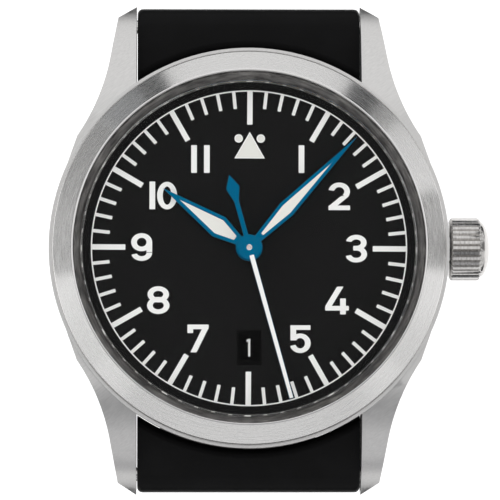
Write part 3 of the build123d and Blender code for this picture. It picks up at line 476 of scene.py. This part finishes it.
# The triangle and dots at 12. Their paint stands on a wider print of pure white, which shows as a thin edge.
TRIANGLE_HALF = 1.485
TRIANGLE_LOW = 8.74
TRIANGLE_HIGH = 11.34
DOT_ASIDE = 1.078
DOT_REACH = 10.69
DOT_RADIUS = 0.41
for name, edge, low, high, material in (("triangle_print", 0.0, 0.0, PRINT, dial_print),
                                        ("triangle_paint", 0.10, PRINT, 2 * PRINT, lume_paint)):
    mesh = bmesh.new()
    corners = ((1.7 * edge - TRIANGLE_HALF, TRIANGLE_LOW + edge), (TRIANGLE_HALF - 1.7 * edge, TRIANGLE_LOW + edge),
               (0, TRIANGLE_HIGH - 2 * edge))
    face = mesh.faces.new([mesh.verts.new((x * MM, y * MM, (DIAL_TOP + low) * MM)) for x, y in corners])
    draw_out(mesh, [face], (0, 0, high - low))
    radius = (DOT_RADIUS - edge) * MM
    for x in (-DOT_ASIDE, DOT_ASIDE):
        place = Vector((x, DOT_REACH, DIAL_TOP + (low + high) / 2)) * MM
        bmesh.ops.create_cone(mesh, cap_ends=True, segments=32, radius1=radius, radius2=radius,
                              depth=(high - low) * MM, matrix=Matrix.Translation(place))
    bmesh.ops.transform(mesh, matrix=Matrix.Rotation(-MARKS_TURN, 4, "Z"), verts=mesh.verts)
    bmesh.ops.recalc_face_normals(mesh, faces=mesh.faces)
    piece(name, mesh, "head", "lume_white", material)


# Numerals of plain engineering lettering, all of one height: half the width of each, then its strokes. Four
# numbers are a straight stroke between two points, six an oval one: middle, half sizes, first and last bearing.
TALL = 1.35
STROKE_UPRIGHT = 0.555
STROKE_LEVEL = 0.45
GLYPHS = {
    "0": (0.97, [(0, 0, 0.70, 1.12, 0, 360)]),
    "1": (0.42, [(0.10, 1.5, 0.10, -1.5), (0.16, 1.20, -0.62, 0.74)]),
    "|": (0.285, [(0, 1.5, 0, -1.5)]),
    "2": (1.05, [(0, 0.46, 0.77, 0.66, 170, -47), (0.56, 0.02, -1.30, -1.51), (-1.2, -1.125, 1.2, -1.125)]),
    "3": (1.05, [(0, 0.585, 0.735, 0.54, 168, -90), (0.05, 0.045, -0.29, 0.045),
                 (0, -0.54, 0.775, 0.585, 90, -167)]),
    "4": (1.15, [(0.58, 0.20, 0.58, -1.5), (-1.3, -0.75, 1.3, -0.75), (0.41, 1.5, -1.05, -0.90)]),
    "5": (1.02, [(-0.95, 1.125, 1.00, 1.125), (-0.67, 1.3, -0.67, -0.12), (0, -0.40, 0.745, 0.725, 148, -163)]),
    "6": (1.02, [(0, -0.47, 0.745, 0.655, 0, 360), (-0.745, -0.47, -0.745, 0.5), (0, 0.55, 0.745, 0.575, 180, 14)]),
    "7": (1.03, [(-1.2, 1.125, 1.2, 1.125), (-0.755, 1.3, -0.755, 0.53), (0.96, 1.5, -0.51, -1.5)]),
    "8": (1.09, [(0, 0.56, 0.765, 0.565, 0, 360), (0, -0.52, 0.815, 0.605, 0, 360)]),
    "9": (1.02, [(0, 0.47, 0.745, 0.655, 0, 360), (0.745, 0.47, 0.745, -0.5), (0, -0.55, 0.745, 0.575, 0, -166)]),
}


def numeral(mesh, text, x, y, scale, upright, level, low, high, turn=0.0):
    """A numeral with its middle at (x, y), in strokes of one width upright and another level. Each stroke's top
    lies a hair under the last one's, so that no two share a plane."""
    half_wide, strokes = GLYPHS[text]
    limits = ((1, 0, half_wide - (STROKE_UPRIGHT - upright) / 2), (0, 1, TALL - (STROKE_LEVEL - level) / 2))
    for i, stroke in enumerate(strokes):
        flat = bmesh.new()
        if len(stroke) == 4:
            x0, y0, x1, y1 = stroke
            along = Vector((x1 - x0, y1 - y0)).normalized()
            width = sqrt((level * along.x) ** 2 + (upright * along.y) ** 2)
            sideways = Vector((0, width / 2)) if abs(along.y) < 0.3 else Vector((width / 2 / abs(along.y), 0))
            ends = (Vector((x0, y0)) - sideways, Vector((x0, y0)) + sideways,
                    Vector((x1, y1)) + sideways, Vector((x1, y1)) - sideways)
            flat.faces.new([flat.verts.new((*end, 0)) for end in ends])
        else:
            x0, y0, wide, tall, first, last = stroke
            start = Vector((cos(radians(first)), sin(radians(first)), 0))
            ends = [flat.verts.new(start), flat.verts.new(2 * start)]
            bmesh.ops.spin(flat, geom=ends + [flat.edges.new(ends)], cent=(0, 0, 0), axis=(0, 0, 1), dvec=(0, 0, 0),
                           angle=radians(last - first), steps=round(abs(last - first) / 10),
                           use_merge=last - first == 360, use_duplicate=False)
            for v in flat.verts:
                side = 0.5 if v.co.length > 1.5 else -0.5
                out = v.co.normalized()
                v.co = (x0 + out.x * (wide + side * upright), y0 + out.y * (tall + side * level), 0)
        for across, along, limit in limits:
            for side in (-1, 1):
                normal = Vector((across * side, along * side, 0))
                bmesh.ops.bisect_plane(flat, geom=flat.verts[:] + flat.edges[:] + flat.faces[:], dist=1e-6,
                                       plane_co=normal * limit, plane_no=normal, clear_outer=True)
        bmesh.ops.scale(flat, vec=(scale * MM, scale * MM, 1), verts=flat.verts)
        draw_out(flat, flat.faces[:], (0, 0, high - low - 0.002 * i))
        bmesh.ops.translate(flat, vec=(x * MM, y * MM, low * MM), verts=flat.verts)
        bmesh.ops.transform(flat, matrix=Matrix.Rotation(-turn, 4, "Z"), verts=flat.verts)
        bmesh.ops.recalc_face_normals(flat, faces=flat.faces)
        data = bpy.data.meshes.new("stroke")
        flat.to_mesh(data)
        flat.free()
        mesh.from_mesh(data)
        bpy.data.meshes.remove(data)


# Each numeral and its middle. 10 and 11 take two numerals each, and the triangle stands for 12.
HOURS = [("|", 5.11, 8.68), ("2", 8.79, 5.05), ("3", 10.44, -0.06), ("4", 8.56, -5.12), ("5", 4.97, -8.88),
         ("7", -4.97, -8.82), ("8", -8.84, -5.09), ("9", -10.46, 0.08), ("|", -9.43, 5.12), ("0", -7.99, 5.10),
         ("|", -5.37, 8.68), ("|", -4.12, 8.68)]
mesh = bmesh.new()
for text, x, y in HOURS:
    numeral(mesh, text, x, y, 1.0, STROKE_UPRIGHT, STROKE_LEVEL, DIAL_TOP, DIAL_TOP + PRINT)
piece("numerals", mesh, "head", "lume_white", dial_print)

# The window's frame in four rings: a low step up, a rim, and a slope down into the window
DATE_REACH = 9.7
mesh = bmesh.new()
rings = [[mesh.verts.new((x * wide / 2 * MM, (y * tall / 2 - DATE_REACH) * MM, (DIAL_TOP + level) * MM))
          for x, y in ((-1, -1), (1, -1), (1, 1), (-1, 1))]
         for wide, tall, level in ((2.42, 3.42, 0.0), (2.36, 3.36, 0.03), (1.98, 2.62, 0.02), (1.94, 2.58, -0.10))]
for k in range(4):
    for i in range(4):
        mesh.faces.new((rings[k - 1][i - 1], rings[k - 1][i], rings[k][i], rings[k][i - 1]))
bmesh.ops.recalc_face_normals(mesh, faces=mesh.faces)
# The frame's black lacquer is made darker than the dial's: painted shade round the edge of the window
frame_lacquer_painted_shade, tree, shader = new_material("black lacquer on a pressed edge, darkened as painted shade", "050505", 0.5)
shader.inputs["Specular IOR Level"].default_value = 0.02
edge_noise = add(tree, "ShaderNodeTexNoise", {"Scale": 6000.0, "Detail": 2.0}, {})
uneven_gloss(tree, shader, edge_noise.outputs[0], 0.35, 0.5)
piece("date_window_frame", mesh, "head", "dial_black", frame_lacquer_painted_shade)


# Date ring: brass in black lacquer with the days of the month printed in white. It turns under the
# dial and shows one number in the window at 6.
DATE_TOP = 6.085
DATE_PRINT = 0.02
DATE_STEP = 0.84
DATE_SIZES = {1: 0.68, 2: 0.46}
DATE_UPRIGHT = 0.29
DATE_LEVEL = 0.27
# Its black lacquer is made far darker than the dial's, almost pure black: painted shadow of the dial over the
# window
date_lacquer_painted_shadow, tree, shader = new_material("black date ring lacquer, darkened as painted shadow", "030303", 0.5)
shader.inputs["Specular IOR Level"].default_value = 0.01
disc_noise = add(tree, "ShaderNodeTexNoise", {"Scale": 8000.0, "Detail": 2.0}, {})
mottled(tree, shader, disc_noise.outputs[0], "020202", "050505")
coat("date_ring", date_lacquer_painted_shadow)
mesh = bmesh.new()
for day in range(1, 32):
    count = len(str(day))
    for i, text in enumerate(str(day)):
        x = (i - (count - 1) / 2) * DATE_STEP - 0.05
        numeral(mesh, text, x, -DATE_REACH, DATE_SIZES[count], DATE_UPRIGHT, DATE_LEVEL,
                DATE_TOP, DATE_TOP + DATE_PRINT, radians(360 / 31 * (day - 1)))
piece("dates", mesh, "date_ring", "lume_white", dial_print)


# Hands: steel strip, stamped, blued by heat and filled with white luminous paint. The seconds hand is
# white in front of its hub and blue behind it, and a steel pin closes its middle.
blued_steel, tree, shader = new_material("heat blued steel", "006c95", 0.30, 1.0)
tint = add(tree, "ShaderNodeTexNoise", {"Scale": 700.0, "Detail": 3.0}, {})
mottled(tree, shader, tint.outputs[0], "00668e", "00739e")
relief(tree, shader, tint.outputs[0], 0.1, 0.01)
SECOND_BEARING = radians(164.4)
for node, body in (("hour_hand", "hour_group"), ("minute_hand", "minute_group"), ("second_hand", "seconds_group")):
    mesh = eased(node, 0.03)
    if node == "second_hand":
        # The neck of the kite on its tail stands nearer the hub than in the solid
        tail = Vector((-sin(SECOND_BEARING), -cos(SECOND_BEARING), 0))
        neck = [v for v in mesh.verts if 4.8 < v.co.dot(tail) / MM < 5.6]
        bmesh.ops.translate(mesh, verts=neck, vec=-0.42 * MM * tail)
    hand = piece(node + "_blued", mesh, body, "hand_blue", blued_steel)
    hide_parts(node)
coat("hour_hand_lume", lume_paint)
coat("minute_hand_lume", lume_paint)

# The needle's paint: its reach and half its width at the hub and at the tip
mesh = bmesh.new()
bmesh.ops.create_cube(mesh, size=1.0)
for v in mesh.verts:
    along, half = (0.80, 0.22) if v.co.y < 0 else (15.18, 0.17)
    v.co = (v.co.x * 2 * half * MM, along * MM, (8.10 + (v.co.z + 0.5) * 0.03) * MM)
bmesh.ops.transform(mesh, matrix=Matrix.Rotation(-SECOND_BEARING, 4, "Z"), verts=mesh.verts)
piece("second_hand_paint", mesh, "seconds_group", "lume_white", dial_print)
mesh = turned([(0, 8.06), (0.29, 8.06), (0.29, 8.14), (0.23, 8.19), (0.16, 8.19), (0.10, 8.11), (0, 8.11)],
              steps=48, closed=False)
piece("hand_pin", mesh, "seconds_group", "movement_steel", polished_steel)


# Crown: steel, turned, with flutes milled round it and a domed end. It hangs on the stem and slides
# over the tube that is pressed into the case.
CROWN_START = 19.6
CROWN_RADIUS = 3.07
DOME_START = 3.02
DOME_LENGTH = 0.98
DOME_RADIUS = 2.76
FLUTES = 36
FLUTE_DEPTH = 0.24
STEM_HEIGHT = 4.3
FLUTE_STEPS = (0.0, 0.0, 0.0, 0.55, 1.0, 0.55, 0.0, 0.0)
# Its rings from the bore for the stem round to the dome: distance out, radius, and share of the flutes' depth
crown_rings = [(1.9, 0.5, 0), (1.9, 1.58, 0), (0.0, 1.58, 0), (0.0, 2.70, 0), (0.14, 2.98, 0.7),
               (0.26, CROWN_RADIUS, 1), (2.80, CROWN_RADIUS, 1), (2.95, 2.98, 0.7), (DOME_START, 2.80, 0)]
crown_rings += [(DOME_START + DOME_LENGTH * sin(radians(a)), DOME_RADIUS * cos(radians(a)), 0)
                for a in (12, 24, 36, 48, 60, 70, 80, 87)]
mesh = bmesh.new()
bmesh.ops.create_circle(mesh, cap_ends=False, segments=FLUTES * 8, radius=0.5 * MM)
ring = mesh.edges[:]
verts = mesh.verts[:]
for k, (along, radius, flute) in enumerate(crown_rings):
    if k:
        grown = bmesh.ops.extrude_edge_only(mesh, edges=ring)["geom"]
        ring = [e for e in grown if isinstance(e, bmesh.types.BMEdge) and all(v in grown for v in e.verts)]
        verts = [v for v in grown if isinstance(v, bmesh.types.BMVert)]
    for v in verts:
        # The first ring is drawn flat and stood up here
        bearing = atan2(v.co.z, v.co.y) if k else atan2(v.co.y, v.co.x)
        step = round(bearing / (2 * pi) * FLUTES * 8) % 8
        reach = radius - FLUTE_DEPTH * FLUTE_STEPS[step] * flute
        v.co = ((CROWN_START + along) * MM, reach * cos(bearing) * MM, reach * sin(bearing) * MM)
bmesh.ops.holes_fill(mesh, edges=mesh.edges, sides=0)
bmesh.ops.recalc_face_normals(mesh, faces=mesh.faces)
bmesh.ops.translate(mesh, verts=mesh.verts, vec=(0, 0, STEM_HEIGHT * MM))
crown_steel = brushed_steel("316L steel, satin crown", "b2b0ae", "d8d6d4", 0.16, straight_grain, turn=radians(90))
crown = piece("crown_fluted", mesh, "crown", "case_steel", crown_steel, sharp=35)
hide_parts("crown")
coat("crown_tube", polished_steel)
coat("stem", polished_steel)


# Case back: steel, turned, screwed into the case and sealed, with six slots for the key. It is brushed
# round and carries nothing.
back = piece("case_back_finished", eased("case_back", 0.12), "head", "case_steel", bezel_steel)
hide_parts("case_back")


# Movement: gilt brass plates and wheels under the back, with a steel escapement and rotor, in a black plastic
# holder. None of it shows in the closed case.
gilt_brass, tree, shader = new_material("gilt brass, grained", "b99a5b", 0.32, 1.0)
gilt_noise = add(tree, "ShaderNodeTexNoise", {"Scale": 4000.0, "Detail": 3.0}, {})
uneven_gloss(tree, shader, gilt_noise.outputs[0], 0.26, 0.40)
holder_plastic, tree, shader = new_material("black moulded acetal", "202022", 0.45)
holder_noise = add(tree, "ShaderNodeTexNoise", {"Scale": 3000.0, "Detail": 2.0}, {})
relief(tree, shader, holder_noise.outputs[0], 0.2, 0.01)
for node in ("main_plate", "barrel_bridge", "train_bridge", "balance_cock", "barrel", "centre_wheel",
             "third_wheel", "fourth_wheel", "balance_wheel", "minute_wheel", "hour_wheel"):
    coat(node, gilt_brass)
for node in ("escape_wheel", "pallet_fork", "hairspring", "cannon_pinion", "rotor_bearing"):
    coat(node, polished_steel)
coat("movement_ring", holder_plastic)
coat("rotor", bezel_steel)


# Bars between the lugs: steel rods with sprung ends that sit in a hole of each lug. A strap half hangs on
# each bar.
coat("spring_bar_12", polished_steel)
coat("spring_bar_6", polished_steel)


# Strap halves: smooth black calf over a padded core, lined, edged and sewn along both sides with black
# thread. Each is folded round the bar at the lugs and has a stiff end fitted to the case there, and the 12
# o'clock half is folded round the buckle's bar too.
BAR_REACH = 22.0
BAR_HEIGHT = 2.5
THICK = 3.6
THIN = 2.4
WIDE = 21.8
NARROW = 18.0
TAPER = 50.0
SEAM = 1.7
SEAM_DEPTH = 0.16
SEAM_SPREAD = 0.4
RIM_DEPTH = 0.14
EDGE_ROUND = 0.5
STITCH_STEP = 2.9
STITCH_SINK = 0.27
STITCH_HALVES = (0.20, 1.0, 0.13)
FITTED_REACH = 19.56
FITTED_START = 15.5
FITTED_TOP = 1.805
FITTED_FOOT = -1.2

calf, tree, shader = new_material("dull black calf", "0e0e0e", 0.48)
shader.inputs["Specular IOR Level"].default_value = 0.06
calf_place = add(tree, "ShaderNodeTexCoord", {}, {})
pores = add(tree, "ShaderNodeTexVoronoi", {"Scale": 2600.0}, {"Vector": calf_place.outputs["Object"]})
clouds = add(tree, "ShaderNodeTexNoise", {"Scale": 350.0, "Detail": 5.0}, {"Vector": calf_place.outputs["Object"]})
mottled(tree, shader, clouds.outputs[0], "0b0b0b", "131314")
skin = add(tree, "ShaderNodeMath", {"operation": "ADD"}, {0: pores.outputs["Distance"], 1: clouds.outputs[0]})
relief(tree, shader, skin.outputs[0], 0.25, 0.04)
uneven_gloss(tree, shader, clouds.outputs[0], 0.36, 0.52)

lining, tree, shader = new_material("black lining leather", "1e1c1b", 0.7)
lining_noise = add(tree, "ShaderNodeTexNoise", {"Scale": 2500.0, "Detail": 4.0}, {})
relief(tree, shader, lining_noise.outputs[0], 0.4, 0.05)

thread, tree, shader = new_material("waxed black thread", "1d1d1e", 0.5)
twist = add(tree, "ShaderNodeTexWave", {"Scale": 1500.0, "Distortion": 0.5}, {})
relief(tree, shader, twist.outputs[0], 0.5, 0.03)


def strap_place(half, s):
    """The middle of a strap half at a distance from its bar, the direction out of the loop and that along it."""
    side, drop, bend_radius, bend = half[:4]
    if s <= drop:
        return Vector((0, side * BAR_REACH, BAR_HEIGHT - s)), Vector((0, side, 0)), Vector((0, 0, -1))
    turn = min((s - drop) / bend_radius, bend)
    out = Vector((0, side * cos(turn), -sin(turn)))
    forward = Vector((0, -side * sin(turn), -cos(turn)))
    centre = Vector((0, side * (BAR_REACH - bend_radius), BAR_HEIGHT - drop))
    past = max(0.0, s - drop - bend_radius * bend)
    return centre + out * bend_radius + forward * past, out, forward


def strap_sizes(half, s, length, tip_round):
    """Half the width and the thickness of a strap half at a distance from its bar."""
    drop = half[1]
    thickness = THICK + (THIN - THICK) * min(max(s, 0) / drop, 1)
    depth = min(max(BAR_HEIGHT - strap_place(half, s)[0].z, 0) / TAPER, 1)
    wide = (WIDE + (NARROW - WIDE) * depth) / 2
    left = length - s
    if tip_round and left < tip_round:
        wide = wide - tip_round + sqrt(max(tip_round ** 2 - (tip_round - left) ** 2, 0))
    return wide, thickness


def strap_blank(half, length, tip_round, end_round):
    """The strap half as one closed skin: padded in the middle, drawn in along its seams, rounded at its edges."""
    rows = [-THICK / 2 * cos(radians(90 * i / 8)) for i in range(8)]
    count = int(length / 1.5)
    rows += [(length - end_round) * i / count for i in range(count)]
    rows += [length - end_round + (end_round + (THIN / 2 if not tip_round else 0)) * sin(radians(90 * i / 10))
             for i in range(11)]
    columns = 48
    mesh = bmesh.new()
    bmesh.ops.create_cube(mesh, size=2.0)
    for axis, cuts in ((0, columns - 1), (1, len(rows) - 2), (2, 3)):
        across = [e for e in mesh.edges if abs((e.verts[0].co - e.verts[1].co)[axis]) > 1.9]
        bmesh.ops.subdivide_edges(mesh, edges=across, cuts=cuts, use_grid_fill=True)
    end = rows[-1]
    for v in mesh.verts:
        u, t, w = v.co
        s = rows[round((t + 1) / 2 * (len(rows) - 1))]
        wide, thickness = strap_sizes(half, min(s, length), length, tip_round)
        x = wide * sin(u * pi / 2)
        inside = wide - abs(x)
        level = thickness / 2
        if s < 0:
            level = sqrt(max(level ** 2 - s ** 2, 0))
        from_end = end - s
        round_at = THIN / 2 if not tip_round else EDGE_ROUND
        if from_end < round_at:
            level = level - round_at + sqrt(max(round_at ** 2 - (round_at - from_end) ** 2, 0))
        if inside < EDGE_ROUND:
            level = max(level - EDGE_ROUND + sqrt(max(EDGE_ROUND ** 2 - (EDGE_ROUND - inside) ** 2, 0)), 0.02)
        seam = SEAM_DEPTH * exp(-((inside - SEAM) / SEAM_SPREAD) ** 2) if s > 3 and from_end > 2 else 0
        rim = RIM_DEPTH if s > 3 and inside < SEAM else 0
        if w > 0:
            level = level - seam - rim
        point, out, forward = strap_place(half, s)
        v.co = (point + out * level * w + Vector((x, 0, 0))) * MM
    bmesh.ops.remove_doubles(mesh, verts=mesh.verts, dist=1e-6)
    bmesh.ops.recalc_face_normals(mesh, faces=mesh.faces)
    return mesh


def rod(mesh, middle, direction, radius, length):
    """A round rod through a point along a direction, for cutting a hole."""
    turn = direction.to_track_quat("Z", "X").to_matrix().to_4x4()
    bmesh.ops.create_cone(mesh, cap_ends=True, segments=32, radius1=radius * MM, radius2=radius * MM,
                          depth=length * MM, matrix=Matrix.Translation(middle * MM) @ turn)


def cut(mesh, cutters):
    """The mesh with the cutters' space taken out."""
    blank = loose_object("blank", mesh)
    tool = loose_object("tool", cutters)
    step = blank.modifiers.new("cut", "BOOLEAN")
    step.operation = "DIFFERENCE"
    step.solver = "EXACT"
    step.object = tool
    done = bpy.data.meshes.new_from_object(blank.evaluated_get(bpy.context.evaluated_depsgraph_get()))
    result = bmesh.new()
    result.from_mesh(done)
    for spent in (blank, tool):
        bpy.data.objects.remove(spent)
    bpy.data.meshes.remove(done)
    return result


def stitches(half, first, last, length, tip_round):
    """Two rows of sewing on both faces, each stitch a short fat thread."""
    mesh = bmesh.new()
    s = first
    while s < last:
        point, out, forward = strap_place(half, s)
        wide, thickness = strap_sizes(half, s, length, tip_round)
        for side in (-1, 1):
            for face_side in (1, -1):
                x = side * (wide - SEAM)
                sink = STITCH_SINK if face_side > 0 else 0.0
                middle = point + Vector((x, 0, 0)) + out * face_side * (thickness / 2 - sink)
                turn = Matrix((Vector((1, 0, 0)), forward, out)).transposed().to_4x4()
                size = Matrix.Diagonal([half_size * MM for half_size in STITCH_HALVES] + [1])
                bmesh.ops.create_uvsphere(mesh, u_segments=8, v_segments=6, radius=1.0,
                                          matrix=Matrix.Translation(middle * MM) @ turn @ size)
        s += STITCH_STEP
    return mesh


# The halves: side, straight drop, radius and angle of the bend, and straight run after it
SHORT = (1, 24.0, 40.001, radians(45.0), 18.0)
LONG = (-1, 59.013, 28.0, radians(90.0), 13.0)
for name, half, tip_round in (("12", SHORT, 0.0), ("6", LONG, 7.0)):
    side, drop, bend_radius, bend, run = half
    length = drop + bend_radius * bend + run
    mesh = strap_blank(half, length, tip_round, 7.0 if tip_round else THIN)
    cutters = bmesh.new()
    rod(cutters, Vector((0, side * BAR_REACH, BAR_HEIGHT)), Vector((1, 0, 0)), 0.79, 2 * WIDE)
    if tip_round:
        for i in range(5):
            point, out, forward = strap_place(half, length - 21.0 - 6.5 * i)
            rod(cutters, point, out, 0.95, 4 * THIN)
    else:
        point, out, forward = strap_place(half, length)
        rod(cutters, point, Vector((1, 0, 0)), 0.64, 2 * WIDE)
        turn = Matrix((Vector((1, 0, 0)), forward, out)).transposed().to_4x4()
        slot_size = Matrix.Diagonal((2.6 * MM, 6.4 * MM, 8.0 * MM, 1))
        bmesh.ops.create_cube(cutters, size=1.0,
                              matrix=Matrix.Translation((point + forward * 1.2) * MM) @ turn @ slot_size)
    mesh = cut(mesh, cutters)
    # The lining covers what faces into the loop, from 8 mm past the bar on
    places = [strap_place(half, 4.0 * k)[:2] for k in range(int(length / 4) + 2)]
    for face in mesh.faces:
        middle = face.calc_center_median()
        reach = middle / MM - Vector((0, side * BAR_REACH, BAR_HEIGHT))
        inward = min((face.normal.dot(out) for point, out in places
                      if (point - Vector((0, middle.y, middle.z)) / MM).length < 3.2), default=0)
        face.material_index = 1 if inward < -0.9 and reach.yz.length > 8 else 0
    strap = piece(f"strap_{name}_calf", mesh, f"strap_{name}", "strap_leather", calf, lining, sharp=40)
    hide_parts(f"strap_{name}")
    sewn = stitches(half, 5.0, length - (6.5 if tip_round else 7.0), length, tip_round)
    piece(f"strap_{name}_sewing", sewn, f"strap_{name}", "strap_leather", thread)
    # The fitted end: a block from the bar to the case, cut by the case's round with a clearance that opens upwards
    mesh = bmesh.new()
    corners = [mesh.verts.new((-WIDE / 2 * MM, side * y * MM, (BAR_HEIGHT + z) * MM))
               for y, z in ((FITTED_START, FITTED_FOOT), (FITTED_START, FITTED_TOP),
                            (BAR_REACH, FITTED_TOP), (BAR_REACH, FITTED_FOOT))]
    draw_out(mesh, [mesh.faces.new(corners)], (WIDE, 0, 0))
    bmesh.ops.recalc_face_normals(mesh, faces=mesh.faces)
    clearance = [(0, 0), (0.22, 1.1), (0.37, 1.38), (0.57, 1.62), (0.86, 1.79), (1.2, 1.82)]
    round_case = turned([(0, 0), (FITTED_REACH, 0)] + [(FITTED_REACH + r, BAR_HEIGHT + z) for r, z in clearance]
                        + [(FITTED_REACH + 1.2, 6), (0, 6)], closed=False)
    mesh = cut(mesh, round_case)
    bmesh.ops.dissolve_limit(mesh, angle_limit=radians(0.5), verts=mesh.verts, edges=mesh.edges)
    edges = [e for e in mesh.edges if e.is_manifold and e.calc_face_angle(0) > radians(35)
             and min(abs(v.co.z / MM - BAR_HEIGHT) for v in e.verts) > 1.0]
    bmesh.ops.bevel(mesh, geom=edges, offset=0.12 * MM, offset_type="OFFSET", segments=2,
                    profile=0.5, affect="EDGES", material=-1, clamp_overlap=True)
    piece(f"strap_{name}_fitted_end", mesh, f"strap_{name}", "strap_leather", calf)


# Keepers: loops of the same calf. One is sewn to the 12 o'clock half, and the other slides on it to hold the
# end of the 6 o'clock half.
for node, body in (("fixed_keeper", "strap_12"), ("free_keeper", "free_keeper")):
    loop = piece(node + "_calf", eased(node, 0.28, 3), body, "strap_leather", calf)
    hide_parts(node)


# Buckle: satin steel, stamped, with rounded edges. It swings with its tang on a bar in the folded end of the
# 12 o'clock half.
buckle_steel = brushed_steel("316L steel, satin buckle", "b4b2ae", "d8d6d2", 0.28, straight_grain, turn=0.0)
for node, width in (("buckle", 0.30), ("tang", 0.15)):
    made = piece(node + "_finished", eased(node, width, 3), node, "case_steel", buckle_steel)
    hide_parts(node)
coat("buckle_bar", polished_steel)
